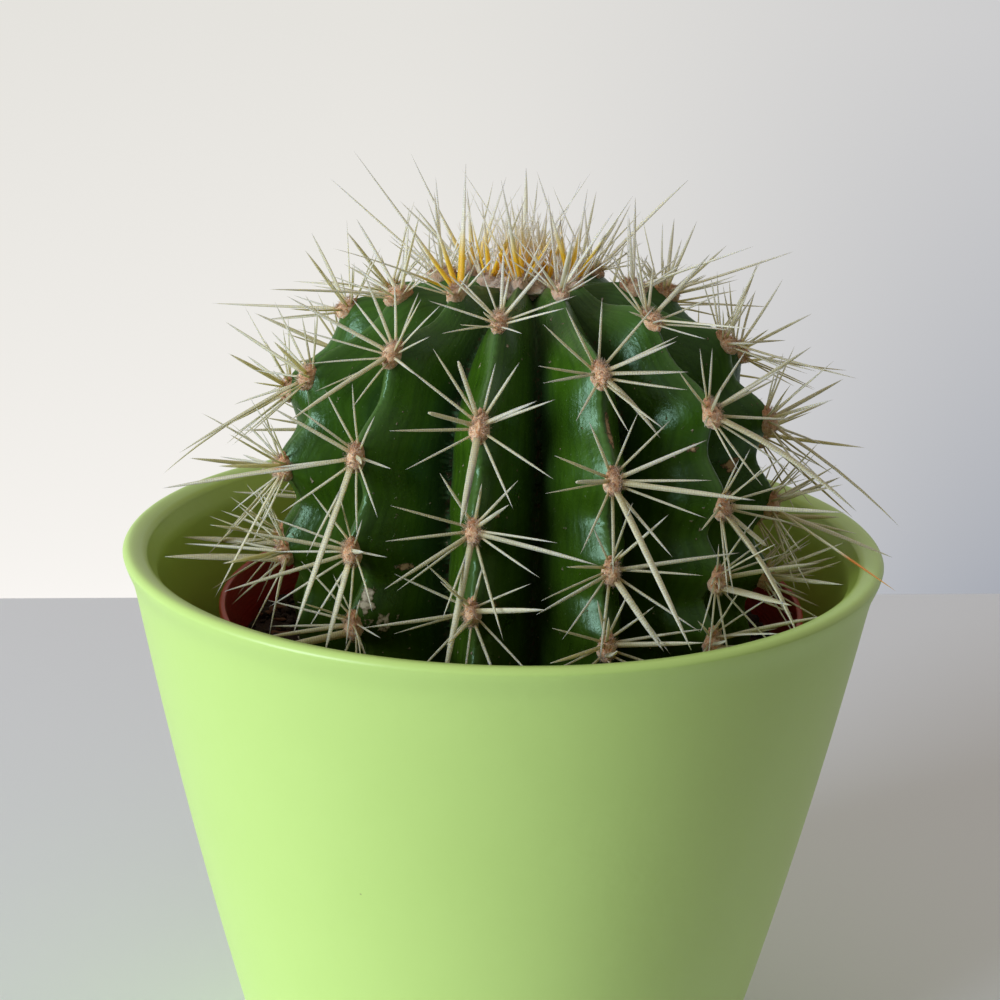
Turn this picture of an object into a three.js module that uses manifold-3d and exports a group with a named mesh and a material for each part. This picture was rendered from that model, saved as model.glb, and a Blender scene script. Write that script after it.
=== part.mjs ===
// A round barrel cactus in a plastic nursery pot, which stands inside a glazed ceramic cover pot.
// Millimetres, +Z up. The origin is the centre of the cover pot's foot, on the surface it stands on.
// -Y is the plant's front and +X its right-hand side.

import * as THREE from 'three';
import { mergeVertices } from 'three/addons/utils/BufferGeometryUtils.js';
import Module from 'manifold-3d';

// ---- driving dimensions -------------------------------------------------------------------------

// Cover pot: a cast and glazed ceramic pot whose wall swells slightly as it widens to the lip.
const COVER_HEIGHT = 120; // top of the crowned lip
const COVER_RIM_RADIUS = 75; // widest level of the lip
const COVER_LIP_CROWN = 0.95; // how far the lip rises above its widest level
const COVER_LIP_FLARE = 0.95; // how far the lip turns out from the line of the wall
const COVER_FLARE_HEIGHT = 2.4; // over which the flare fades out under the lip
const COVER_WALL = 4.7;
const COVER_FLOOR = 5.5;
const COVER_TAPER = 0.1571; // radius lost per millimetre down from the lip
const COVER_SWELL = 0.000404; // extra radius lost per square millimetre
const COVER_FOOT_ROUND = 2;
const COVER_FILLET = 5; // inside, between the floor and the wall
// The lip's rounded top: points in from its widest radius and up from its widest level.
const COVER_LIP = [[0.6, 0.65], [2, COVER_LIP_CROWN], [3.6, 0.75], [COVER_WALL, 0.23]];
const COVER_LIP_DEPTHS = [24, 4.8, 3, 1.5, 0]; // levels of the wall's outside, closer under the lip
const COVER_INSIDE_DEPTH = 4; // where the wall's inside turns straight

// Nursery pot: a thin moulded plastic pot of the 12 cm size, a little to the right of the centre.
const NURSERY_X = 1.8;
const NURSERY_RIM_RADIUS = 58.9;
const NURSERY_RIM_BELOW = 12.7; // under the cover pot's widest level
const NURSERY_FOOT_RADIUS = 39.5;
const NURSERY_WALL = 1.2;
const NURSERY_LIP = 1.3;
const NURSERY_COLLAR = 9; // height of the thicker band round the top
const NURSERY_EDGE = 0.5; // softening of the collar's edges
const DRAIN_HOLES = 6;
const DRAIN_HOLE_RADIUS = 4;
const DRAIN_CIRCLE_RADIUS = 27;

// Potting soil.
const SOIL_BELOW_RIM = 10; // under the nursery pot's rim
const SOIL_UNEVEN = 0.5; // how far its top rises and falls
const SEAT_GAP = 0.3; // between pieces that rest in each other

// Cactus body: the outline along a rib's crest is a superellipse, flatter above its equator.
const BODY_X = 3.8;
const RIBS = 13;
const FRONT_RIB = 3; // this rib faces the front, turned a little to the left
const FRONT_RIB_AZIMUTH = -10.4; // degrees, from -Y towards +X
const CREST_RADIUS = 48.3;
const CREST_POWER = 2.54;
const EQUATOR_ABOVE_RIM = 11.8; // over the cover pot's widest level
const CROWN_HEIGHT = 40; // from the equator up to the crown
const SKIRT_HEIGHT = 92; // the same measure of the nearly straight lower half
const BURIED_STEM = 8; // how far the ribs run down into the soil
const ROOT_END = 16; // height of the rounded end under them
const FURROW_DEPTH = 0.3; // of the radius
const CREST_ROUNDING = 0.1; // of half a rib
const FLANK_BULGE = 1.35;
const TUBERCLE_HEIGHT = 1.7; // how far the crest swells at an areole
const TUBERCLE_REACH = 5.5;
const TUBERCLE_ABOVE = 1; // its fullest part is this far above the areole
const TUBERCLE_WAIST = 0.35; // the part of that height by which the crest sinks in between
const SMOOTH_CROWN = 12; // tubercles fade out over this last distance to the crown
const CROWN_DIMPLE = 2.5;
const CROWN_RADIUS = 9;

// Areoles: felted pads along each crest, as distances from the crown along it.
// The ribs at the front have theirs listed. The others follow the plant's own spiral.
const LISTED_AREOLES = [
  [17, 36.6, 56.6, 73, 87.5],
  [8.5, 26.9, 49.4, 66.5, 83.2],
  [21.5, 40.8, 59.8, 76.7, 90.5],
  [9.8, 30.6, 52.1, 69.4, 83.9],
  [18.1, 42.5, 60.8, 76.2, 90.1],
  [11.5, 31.1, 51.5, 67.9, 81.5, 93.5],
  [20.6, 40.4, 56.9, 73, 87.5],
];
const AREOLES_PER_RIB = 5;
const SPIRAL_STEP = 6 / RIBS; // each rib's areoles are shifted by this part of a spacing
const FIRST_AREOLE = 9.8;
const AREOLE_SPACING = 21.8; // next to the crown
const AREOLE_CROWDING = 0.84; // how much each spacing shrinks on the way down
const AREOLE_WIDTH = 3.9;
const AREOLE_LENGTH = 6.4;
const AREOLE_HEIGHT = 3;

// Spines: a ring of thin radials and four stouter centrals. Angles are in degrees: the clock angle
// turns clockwise from the crown as seen from outside, and the lift is the angle off the skin.
const RADIAL_RING = 10; // places in the full ring
const FIRST_CLOCK = 8; // of the first of them
const RADIALS = [1, 4, 6, 9]; // the places that hold a spine here, even on all sides
const RADIAL_WIDTH = 0.8;
const RADIAL_LIFT = 28;
const RADIAL_LENGTH = 13;
const RADIAL_DOWNWARD = 2.3; // how much longer the ones are that point down
const RADIAL_SIDEWAYS = 1.5; // and the ones that point to a side
const CENTRAL_WIDTH = 1.15;
const CENTRALS = [
  { clock: -24, lift: 58, length: 15 },
  { clock: 76, lift: 42, length: 19 },
  { clock: -84, lift: 42, length: 19 },
  { clock: 186, lift: 34, length: 24 },
];
// Centrals that reach furthest, each in the place of its areole's usual one.
const LONG_SPINES = [
  { rib: 0, areole: 2, spine: 3, clock: 170, lift: 40, length: 29 },
  { rib: 1, areole: 3, spine: 2, clock: -120, lift: 58, length: 23 },
  { rib: 1, areole: 3, spine: 3, clock: 165, lift: 30, length: 26 },
  { rib: 2, areole: 0, spine: 0, clock: -91, lift: 52, length: 31 },
  { rib: 6, areole: 2, spine: 3, clock: 174, lift: 38, length: 30 },
  { rib: 6, areole: 3, spine: 2, clock: -118, lift: 55, length: 30 },
];
const RADIAL_START = { length: 2.2, width: 1.3, height: 0.3 }; // half sizes of the oval they leave by
const CENTRAL_START = { length: 1.3, width: 0.8, height: 0.8 };
const SPINE_ROOT = 1.6; // how deep a spine is sunk in its pad
const SPINE_CLEARANCE = 0.8; // kept from the pots and the soil
const BEND_STEP = 0.09; // how far each try turns a spine up that isn't clear of them
const BEND_TRIES = 10; // before it also gets shorter
const YOUNG_WITHIN = 26; // of the crown, where spines stand up straighter
const YOUNG_FADE = 18;
const YOUNG_RADIAL_LIFT = 30;
const YOUNG_CENTRAL_LIFT = 22;
// How much single spines differ: clock and lift in degrees, length in millimetres.
const RADIAL_SPREAD = { clock: 10, lift: 7, length: 2 };
const CENTRAL_SPREAD = { clock: 12, lift: 8, length: 3 };
const CROWN_SPREAD = { clock: 20, lift: 8, length: 3 };
const CROWN_TUFTS = 13;
const CROWN_SEED = 20; // stands for their areole number in the draws
const CROWN_TUFTS_FROM = 2.5; // distances from the crown of the innermost tuft and the outermost
const CROWN_TUFTS_TO = 7.5;
const CROWN_SPINES = [-50, 130]; // clock angles of each tuft's spines
const CROWN_SPINE_LIFT = 72;
const CROWN_SPINE_LENGTH = 14;
const CROWN_WOOL_RADIUS = 9.5;
const CROWN_WOOL_HEIGHT = 3;

const COVER_SEGMENTS = 48;
const NURSERY_SEGMENTS = 48;
const BODY_ROWS = 25;
const BURIED_ROWS = 4; // of them, under the ribs' buried ends
// Columns of the body across one rib, from furrow to furrow: 0 is the crest and 1 the furrow.
const RIB_COLUMNS = [-1, -0.58, -0.17, 0.17, 0.58];

// ---- levels that follow -------------------------------------------------------------------------

const coverRimZ = COVER_HEIGHT - COVER_LIP_CROWN;
const nurseryRimZ = coverRimZ - NURSERY_RIM_BELOW;
const nurseryFootZ = COVER_FLOOR + SEAT_GAP;
const soilTopZ = nurseryRimZ - SOIL_BELOW_RIM;
const equatorZ = coverRimZ + EQUATOR_ABOVE_RIM;
const ribPitch = 360 / RIBS;
const UP = new THREE.Vector3(0, 0, 1);

// ---- solids -------------------------------------------------------------------------------------

const wasm = await Module();
wasm.setup();

// A closed three.js geometry as a solid that can be joined and cut.
function solid(geometry) {
  geometry.deleteAttribute('normal');
  geometry.deleteAttribute('uv');
  const welded = mergeVertices(geometry, 1e-4);
  return new wasm.Manifold(new wasm.Mesh({
    numProp: 3,
    vertProperties: new Float32Array(welded.attributes.position.array),
    triVerts: new Uint32Array(welded.index.array),
  }));
}

// The surface of a solid as a three.js geometry.
function surface(body) {
  const mesh = body.getMesh();
  const geometry = new THREE.BufferGeometry();
  geometry.setAttribute('position', new THREE.BufferAttribute(mesh.vertProperties, 3));
  geometry.setIndex(new THREE.BufferAttribute(mesh.triVerts, 1));
  geometry.computeVertexNormals();
  return geometry;
}

// A profile of [radius, height] points turned about the Z axis.
function turned(profile, segments) {
  const points = profile.map(([radius, height]) => new THREE.Vector2(radius, height));
  return new THREE.LatheGeometry(points, segments).rotateX(Math.PI / 2);
}

// Points on an arc, for a profile. Angles are in degrees from the radial direction.
function arc(radius, height, size, from, to, steps) {
  return Array.from({ length: steps + 1 }, (_, i) => {
    const angle = THREE.MathUtils.degToRad(from + ((to - from) * i) / steps);
    return [radius + size * Math.cos(angle), height + size * Math.sin(angle)];
  });
}

// A repeatable draw between -1 and 1 for one spine of one areole.
function draw(rib, areole, spine, kind) {
  const mixed = Math.sin(rib * 12.9898 + areole * 78.233 + spine * 37.719 + kind * 4.1414) * 43758.5453;
  return 2 * (mixed - Math.floor(mixed)) - 1;
}

// ---- cover pot ----------------------------------------------------------------------------------

// Outer radius of the wall at a height, before it flares out to the lip.
function coverWallRadius(height) {
  const depth = coverRimZ - height;
  return COVER_RIM_RADIUS - COVER_LIP_FLARE - COVER_TAPER * depth - COVER_SWELL * depth * depth;
}

function coverOutside(height) {
  const flare = COVER_LIP_FLARE * Math.exp(-(((coverRimZ - height) / COVER_FLARE_HEIGHT) ** 2));
  return [coverWallRadius(height) + flare, height];
}

function coverPot() {
  const footRadius = coverWallRadius(0) - COVER_FOOT_ROUND;
  const wallSteps = 4;
  const wallTop = coverRimZ - COVER_LIP_DEPTHS[0];
  const outside = Array.from({ length: wallSteps }, (_, i) => {
    return coverOutside(THREE.MathUtils.lerp(COVER_FOOT_ROUND, wallTop, i / wallSteps));
  });
  outside.push(...COVER_LIP_DEPTHS.map((depth) => coverOutside(coverRimZ - depth)));
  const lip = COVER_LIP.map(([inward, rise]) => [COVER_RIM_RADIUS - inward, coverRimZ + rise]);
  const insideTop = coverRimZ - COVER_INSIDE_DEPTH;
  const filletZ = COVER_FLOOR + COVER_FILLET;
  const inside = Array.from({ length: wallSteps + 1 }, (_, i) => {
    const height = insideTop + ((filletZ - insideTop) * i) / wallSteps;
    return [coverWallRadius(height) - COVER_WALL, height];
  });
  const filletRadius = coverWallRadius(filletZ) - COVER_WALL - COVER_FILLET;
  const profile = [
    [0, 0],
    ...arc(footRadius, COVER_FOOT_ROUND, COVER_FOOT_ROUND, -90, -30, 2),
    ...outside,
    ...lip,
    ...inside,
    ...arc(filletRadius, filletZ, COVER_FILLET, -25, -90, 3),
    [0, COVER_FLOOR],
  ];
  return turned(profile, COVER_SEGMENTS);
}

// ---- nursery pot --------------------------------------------------------------------------------

// Inner radius of the nursery pot at a height.
function nurseryRadius(height) {
  const up = (height - nurseryFootZ) / (nurseryRimZ - nurseryFootZ);
  const footInside = NURSERY_FOOT_RADIUS - NURSERY_WALL;
  return THREE.MathUtils.lerp(footInside, NURSERY_RIM_RADIUS - NURSERY_LIP, up);
}

function nurseryPot() {
  const collarZ = nurseryRimZ - NURSERY_COLLAR;
  const floorZ = nurseryFootZ + NURSERY_WALL;
  const shell = solid(turned([
    [0, nurseryFootZ],
    [NURSERY_FOOT_RADIUS, nurseryFootZ],
    [nurseryRadius(collarZ) + NURSERY_WALL, collarZ],
    [NURSERY_RIM_RADIUS - NURSERY_EDGE, collarZ],
    [NURSERY_RIM_RADIUS, nurseryRimZ - NURSERY_EDGE],
    [NURSERY_RIM_RADIUS - NURSERY_EDGE / 2, nurseryRimZ],
    [NURSERY_RIM_RADIUS - NURSERY_LIP, nurseryRimZ],
    [nurseryRadius(collarZ), collarZ],
    [nurseryRadius(floorZ), floorZ],
    [0, floorZ],
  ], NURSERY_SEGMENTS));
  const holes = [new THREE.Vector3(0, 0, floorZ)];
  for (let i = 0; i < DRAIN_HOLES; i++) {
    const angle = (i / DRAIN_HOLES) * 2 * Math.PI;
    const across = Math.cos(angle) * DRAIN_CIRCLE_RADIUS;
    holes.push(new THREE.Vector3(across, Math.sin(angle) * DRAIN_CIRCLE_RADIUS, floorZ));
  }
  const drilled = holes.reduce((pot, at) => {
    const drill = new THREE.CylinderGeometry(DRAIN_HOLE_RADIUS, DRAIN_HOLE_RADIUS, 6 * NURSERY_WALL, 10);
    return pot.subtract(solid(drill.rotateX(Math.PI / 2).translate(at.x, at.y, at.z)));
  }, shell);
  return surface(drilled.translate([NURSERY_X, 0, 0]));
}

// ---- cactus body --------------------------------------------------------------------------------

// The crest's outline from the crown down, round the equator and on into the soil.
const crest = crestOutline();
const crestLength = crest.getLength();
const soilLineLength = lengthToHeight(soilTopZ);
const buriedLength = lengthToHeight(soilTopZ - BURIED_STEM);

function crestOutline() {
  const power = 2 / CREST_POWER;
  const lowestRise = (equatorZ - soilTopZ + BURIED_STEM) / SKIRT_HEIGHT;
  const lastAngle = Math.PI / 2 + Math.asin(lowestRise ** (1 / power));
  const steps = 60;
  const points = [];
  for (let i = 0; i <= steps; i++) {
    const angle = (lastAngle * i) / steps;
    const rise = Math.abs(Math.cos(angle)) ** power;
    const height = angle < Math.PI / 2 ? CROWN_HEIGHT * rise : -SKIRT_HEIGHT * rise;
    const radius = CREST_RADIUS * Math.sin(angle) ** power;
    const dimple = CROWN_DIMPLE * Math.exp(-((radius / CROWN_RADIUS) ** 2));
    points.push(new THREE.Vector2(radius, equatorZ + height - dimple));
  }
  const last = points[steps];
  const endSteps = 8;
  for (let i = 1; i <= endSteps; i++) {
    const angle = (Math.PI / 2) * (i / endSteps);
    const down = ROOT_END * Math.sin(angle);
    points.push(new THREE.Vector2(last.x * Math.cos(angle) ** power, last.y - down));
  }
  const outline = new THREE.SplineCurve(points);
  outline.arcLengthDivisions = 600;
  return outline;
}

// Distance from the crown along the crest at which it comes down to a height.
function lengthToHeight(height) {
  let [low, high] = [crestLength * 0.3, crestLength];
  for (let i = 0; i < 40; i++) {
    const middle = (low + high) / 2;
    if (crest.getPointAt(middle / crestLength).y > height) low = middle;
    else high = middle;
  }
  return low;
}

// Distances from the crown of the areoles on a rib.
function areolesOn(rib) {
  if (LISTED_AREOLES[rib]) return LISTED_AREOLES[rib];
  const turns = (rib - FRONT_RIB) * SPIRAL_STEP;
  const phase = turns - Math.floor(turns);
  return Array.from({ length: AREOLES_PER_RIB }, (_, i) => {
    const steps = i + phase;
    return FIRST_AREOLE + AREOLE_SPACING * steps - AREOLE_CROWDING * steps * steps;
  });
}

function ribAzimuth(rib) {
  return THREE.MathUtils.degToRad(FRONT_RIB_AZIMUTH + (rib - FRONT_RIB) * ribPitch);
}

// How far the skin lies under the smooth crest outline, at a part of the way from crest to furrow.
function furrowDrop(radius, across) {
  const round = CREST_ROUNDING ** 2;
  const shape = (value) => (value * value + round) ** (FLANK_BULGE / 2);
  return FURROW_DEPTH * radius * ((shape(across) - shape(0)) / (shape(1) - shape(0)));
}

// Swelling of a rib next to its areoles, which sit just under the fullest part.
function tubercle(rib, length, across) {
  const distances = areolesOn(rib).map((areole) => Math.abs(length - areole + TUBERCLE_ABOVE));
  const fullness = Math.exp(-((Math.min(...distances) / TUBERCLE_REACH) ** 2)) - TUBERCLE_WAIST;
  return TUBERCLE_HEIGHT * fullness * (1 - across ** 1.5) * Math.min(1, length / SMOOTH_CROWN);
}

// A place on the body: distance along the crest, rib, and -1 to 1 across the rib. The frame there
// has "out" off the skin, "crownward" up the crest and "side" to the right as seen from outside.
function bodyFrame(length, rib, across, swell = 0) {
  const part = THREE.MathUtils.clamp(length / crestLength, 0, 1);
  const outline = crest.getPointAt(part);
  const along = crest.getTangentAt(part);
  const azimuth = ribAzimuth(rib + across / 2);
  const radial = new THREE.Vector3(Math.sin(azimuth), -Math.cos(azimuth), 0);
  const out = radial.clone().multiplyScalar(-along.y).addScaledVector(UP, along.x);
  const crownward = radial.clone().multiplyScalar(-along.x).addScaledVector(UP, -along.y);
  const side = new THREE.Vector3(Math.cos(azimuth), Math.sin(azimuth), 0);
  const drop = furrowDrop(outline.x, Math.abs(across)) - tubercle(rib, length, Math.abs(across));
  const point = new THREE.Vector3(BODY_X, 0, outline.y).addScaledVector(radial, outline.x);
  point.addScaledVector(out, swell - drop);
  return { point, out, crownward, side };
}

// The ribbed body, its poles at the crown and at the root end, grown all over by a swell.
function ribbedBody(swell) {
  const columns = RIBS * RIB_COLUMNS.length;
  const geometry = new THREE.SphereGeometry(1, columns, BODY_ROWS);
  const { position, uv } = geometry.attributes;
  const openRows = BODY_ROWS - BURIED_ROWS;
  for (let i = 0; i < position.count; i++) {
    const row = Math.round((1 - uv.getY(i)) * BODY_ROWS);
    const column = i % (columns + 1) % columns;
    const rib = Math.floor(column / RIB_COLUMNS.length);
    const across = RIB_COLUMNS[column % RIB_COLUMNS.length];
    const length = row <= openRows
      ? (row / openRows) * buriedLength
      : THREE.MathUtils.lerp(buriedLength, crestLength, (row - openRows) / BURIED_ROWS);
    const atPole = row === 0 || row === BODY_ROWS;
    const { point } = bodyFrame(length, rib, atPole ? 0 : across, swell);
    if (atPole) point.set(BODY_X, 0, point.z);
    position.setXYZ(i, point.x, point.y, point.z);
  }
  return geometry;
}

// ---- areoles and spines -------------------------------------------------------------------------

function areolePad(frame) {
  const { point, out, crownward, side } = frame;
  const pad = new THREE.OctahedronGeometry(0.6, 0);
  pad.scale(AREOLE_WIDTH, AREOLE_LENGTH, AREOLE_HEIGHT);
  pad.applyMatrix4(new THREE.Matrix4().makeBasis(side, crownward, out));
  return pad.translate(point.x, point.y, point.z);
}

// The direction of a spine by its clock angle and its lift off the skin.
function spineDirection(frame, clock, lift) {
  const turn = THREE.MathUtils.degToRad(clock);
  const raise = THREE.MathUtils.degToRad(lift);
  return new THREE.Vector3()
    .addScaledVector(frame.crownward, Math.cos(turn) * Math.cos(raise))
    .addScaledVector(frame.side, Math.sin(turn) * Math.cos(raise))
    .addScaledVector(frame.out, Math.sin(raise));
}

// Where a spine leaves its pad: on a small oval round the pad's middle.
function spineStart(frame, clock, oval) {
  const turn = THREE.MathUtils.degToRad(clock);
  return frame.point.clone()
    .addScaledVector(frame.crownward, oval.length * Math.cos(turn))
    .addScaledVector(frame.side, oval.width * Math.sin(turn))
    .addScaledVector(frame.out, oval.height);
}

// Whether a point is clear of both pots and the soil.
function isClear(point) {
  const coverDistance = Math.hypot(point.x, point.y);
  const nurseryDistance = Math.hypot(point.x - NURSERY_X, point.y);
  const coverInside = coverWallRadius(point.z) - COVER_WALL - SPINE_CLEARANCE;
  if (point.z < COVER_HEIGHT + SPINE_CLEARANCE && coverDistance > coverInside) return false;
  if (point.z > nurseryRimZ + SPINE_CLEARANCE) return true;
  if (nurseryDistance > nurseryRadius(point.z) - SPINE_CLEARANCE) return false;
  return point.z > soilTopZ + SOIL_UNEVEN + SPINE_CLEARANCE;
}

// Bends a spine up in small steps, and then shortens it, until it is clear of the pots and the soil.
function bentClear(root, direction, length) {
  const heading = direction.clone();
  let reach = length;
  for (let attempt = 0; attempt < 24; attempt++) {
    const checks = Array.from({ length: 12 }, (_, i) => (reach * (i + 1)) / 12);
    if (checks.every((far) => isClear(root.clone().addScaledVector(heading, far)))) {
      return { heading, reach };
    }
    heading.addScaledVector(UP, BEND_STEP).normalize();
    if (attempt > BEND_TRIES) reach *= 0.93;
  }
  return null;
}

// A three-sided needle from its root, sunk into the pad, to its tip.
function needle(root, direction, length, width) {
  const clear = bentClear(root, direction, length);
  if (!clear) return null;
  const whole = clear.reach + SPINE_ROOT;
  const geometry = new THREE.ConeGeometry(width / Math.sqrt(3), whole, 3, 1);
  geometry.translate(0, whole / 2 - SPINE_ROOT, 0);
  const turn = new THREE.Quaternion().setFromUnitVectors(new THREE.Vector3(0, 1, 0), clear.heading);
  return geometry.applyQuaternion(turn).translate(root.x, root.y, root.z);
}

// Spines stand up straighter on the young areoles near the crown.
function youth(length) {
  return THREE.MathUtils.clamp((YOUNG_WITHIN - length) / YOUNG_FADE, 0, 1);
}

function radialSpines(rib, number, length, frame) {
  return RADIALS.map((i) => {
    const clock = FIRST_CLOCK + (i * 360) / RADIAL_RING + RADIAL_SPREAD.clock * draw(rib, number, i, 1);
    const turn = THREE.MathUtils.degToRad(clock);
    const reach = RADIAL_SIDEWAYS * Math.abs(Math.sin(turn)) - RADIAL_DOWNWARD * Math.cos(turn);
    const long = RADIAL_LENGTH + reach + RADIAL_SPREAD.length * draw(rib, number, i, 2);
    const spread = RADIAL_SPREAD.lift * draw(rib, number, i, 3);
    const lift = RADIAL_LIFT + spread + YOUNG_RADIAL_LIFT * youth(length);
    const start = spineStart(frame, clock, RADIAL_START);
    return needle(start, spineDirection(frame, clock, lift), long, RADIAL_WIDTH);
  });
}

function centralSpines(rib, number, length, frame) {
  return CENTRALS.map((central, i) => {
    const longest = LONG_SPINES.find((spine) => {
      return spine.rib === rib && spine.areole === number && spine.spine === i;
    });
    const spread = CENTRAL_SPREAD.lift * draw(rib, number, i, 5);
    const usual = {
      clock: central.clock + CENTRAL_SPREAD.clock * draw(rib, number, i, 4),
      lift: central.lift + spread + YOUNG_CENTRAL_LIFT * youth(length),
      length: central.length + CENTRAL_SPREAD.length * draw(rib, number, i, 6),
    };
    const spine = longest ?? usual;
    const start = spineStart(frame, spine.clock, CENTRAL_START);
    return needle(start, spineDirection(frame, spine.clock, spine.lift), spine.length, CENTRAL_WIDTH);
  });
}

// Tufts of upright young spines round the middle of the crown.
function crownSpines() {
  const spines = [];
  for (let tuft = 0; tuft < CROWN_TUFTS; tuft++) {
    const length = THREE.MathUtils.lerp(CROWN_TUFTS_FROM, CROWN_TUFTS_TO, (tuft * SPIRAL_STEP) % 1);
    const frame = bodyFrame(length, tuft, 0);
    for (const [i, middle] of CROWN_SPINES.entries()) {
      const lift = CROWN_SPINE_LIFT + CROWN_SPREAD.lift * draw(tuft, CROWN_SEED, i, 1);
      const long = CROWN_SPINE_LENGTH + CROWN_SPREAD.length * draw(tuft, CROWN_SEED, i, 2);
      const clock = middle + CROWN_SPREAD.clock * draw(tuft, CROWN_SEED, i, 3);
      spines.push(needle(frame.point, spineDirection(frame, clock, lift), long, CENTRAL_WIDTH));
    }
  }
  return spines;
}

function crownWool() {
  const wool = new THREE.SphereGeometry(1, RIBS, 6).rotateX(Math.PI / 2);
  wool.scale(CROWN_WOOL_RADIUS, CROWN_WOOL_RADIUS, CROWN_WOOL_HEIGHT);
  const { point } = bodyFrame(0, 0, 0);
  return wool.translate(BODY_X, 0, point.z);
}

function cactus() {
  const growth = [ribbedBody(0), crownWool(), ...crownSpines()];
  for (let rib = 0; rib < RIBS; rib++) {
    for (const [number, length] of areolesOn(rib).entries()) {
      const frame = bodyFrame(length, rib, 0);
      growth.push(areolePad(frame));
      growth.push(...radialSpines(rib, number, length, frame));
      growth.push(...centralSpines(rib, number, length, frame));
    }
  }
  const grown = growth.filter((piece) => piece !== null).map(solid);
  return surface(wasm.Manifold.union(grown));
}

// ---- potting soil -------------------------------------------------------------------------------

// Soil up to its level in the nursery pot, with a hole that the buried body stands in.
function pottingSoil() {
  const floorZ = nurseryFootZ + NURSERY_WALL + SEAT_GAP;
  const rings = [0.9, 0.75, 0.6, 0.45, 0];
  const topRadius = nurseryRadius(soilTopZ) - SEAT_GAP;
  const fill = turned([
    [0, floorZ],
    [nurseryRadius(floorZ) - SEAT_GAP, floorZ],
    [topRadius, soilTopZ - 1],
    ...rings.map((part) => [topRadius * part, soilTopZ]),
  ], NURSERY_SEGMENTS);
  const { position } = fill.attributes;
  for (let i = 0; i < position.count; i++) {
    if (position.getZ(i) < soilTopZ - 0.01) continue;
    const waves = Math.sin(0.31 * position.getX(i) + 1) * Math.cos(0.27 * position.getY(i));
    position.setZ(i, soilTopZ + SOIL_UNEVEN * waves);
  }
  fill.translate(NURSERY_X, 0, 0);
  return surface(solid(fill).subtract(solid(ribbedBody(1.7 * SEAT_GAP))));
}

// ---- the whole plant in its pots ----------------------------------------------------------------

function piece(name, geometry, color, roughness) {
  const material = new THREE.MeshStandardMaterial({ color, roughness, metalness: 0 });
  const mesh = new THREE.Mesh(geometry, material);
  mesh.name = name;
  return mesh;
}

const group = new THREE.Group();
group.add(piece('cover_pot', coverPot(), 0xb9e07e, 0.35));
group.add(piece('nursery_pot', nurseryPot(), 0x8c2f24, 0.45));
group.add(piece('potting_soil', pottingSoil(), 0x3b2a20, 0.95));
group.add(piece('cactus', cactus(), 0x2f5a2a, 0.4));

export default group;
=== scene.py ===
"""A potted round barrel cactus, photographed on a pale table in daylight from a window on the left.

The green ribbed plant grows in a thin red plastic nursery pot, which stands inside a lime-green glazed
cover pot. Metres, +Z up; -Y is the plant's front, and the origin is the centre of the cover pot's foot.
"""

import math
import random
from functools import partial

import bmesh
import bpy
import numpy as np
from mathutils import Matrix, Vector, noise


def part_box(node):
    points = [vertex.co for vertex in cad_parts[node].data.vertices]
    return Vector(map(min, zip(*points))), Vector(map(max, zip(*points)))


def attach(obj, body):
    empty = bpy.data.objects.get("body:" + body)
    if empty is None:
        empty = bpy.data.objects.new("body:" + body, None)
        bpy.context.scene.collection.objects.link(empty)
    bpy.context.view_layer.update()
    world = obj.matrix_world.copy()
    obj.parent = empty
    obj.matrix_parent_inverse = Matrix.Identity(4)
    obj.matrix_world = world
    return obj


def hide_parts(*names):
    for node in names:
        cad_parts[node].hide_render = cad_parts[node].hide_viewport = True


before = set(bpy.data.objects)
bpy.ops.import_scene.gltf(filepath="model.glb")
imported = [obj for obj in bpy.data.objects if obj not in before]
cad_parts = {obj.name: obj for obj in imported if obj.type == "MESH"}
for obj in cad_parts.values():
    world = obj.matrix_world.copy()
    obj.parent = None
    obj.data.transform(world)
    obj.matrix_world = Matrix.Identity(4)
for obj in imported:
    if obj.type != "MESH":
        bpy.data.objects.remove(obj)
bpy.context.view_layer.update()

# ---- camera -------------------------------------------------------------------------------------
# A phone held a little above the pot, 29 cm in front of it and looking slightly down and to the left,
# turned by just over a degree. The frame is square, so the lens below gives the photograph's own view.

CAMERA_PLACE = Vector((0, -0.2904, 0.2093))
CAMERA_TARGET = Vector((-0.0009, 0, 0.12575))
CAMERA_ROLL = math.radians(1.364)
LENS_MM = 54
SENSOR_MM = 36

camera_data = bpy.data.cameras.new("camera")
camera_data.lens = LENS_MM
camera_data.sensor_width = SENSOR_MM
camera_data.clip_start = 0.01
camera = bpy.data.objects.new("camera", camera_data)
bpy.context.scene.collection.objects.link(camera)
looking = (CAMERA_TARGET - CAMERA_PLACE).to_track_quat("-Z", "Y").to_matrix().to_4x4()
camera.matrix_world = Matrix.Translation(CAMERA_PLACE) @ looking @ Matrix.Rotation(CAMERA_ROLL, 4, "Z")
bpy.context.scene.camera = camera

# ---- table --------------------------------------------------------------------------------------
# A square table top of pale laminate, pressed with a fine matte texture. The pot stands in its
# middle, so that the plain backdrop begins behind its far edge.

TABLE_REACH = 0.294  # from the pot's axis to each edge
TABLE_TURN = math.radians(5)
TABLE_THICKNESS = 0.018
TABLE_EDGE = 0.0015
LAMINATE_GRAIN = 0.0012


def linear(hex_colour):
    """A colour written as sRGB hex, such as "C9CACC", in linear light with full alpha."""
    channels = [int(hex_colour[i:i + 2], 16) / 255 for i in (0, 2, 4)]
    return [c / 12.92 if c <= 0.04045 else ((c + 0.055) / 1.055) ** 2.4 for c in channels] + [1]


def connect(node, inputs):
    """Links or sets inputs of a node. A text is a hex colour."""
    for name, value in inputs.items():
        if isinstance(value, bpy.types.NodeSocket):
            node.id_data.links.new(value, node.inputs[name])
        else:
            node.inputs[name].default_value = linear(value) if isinstance(value, str) else value


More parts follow.
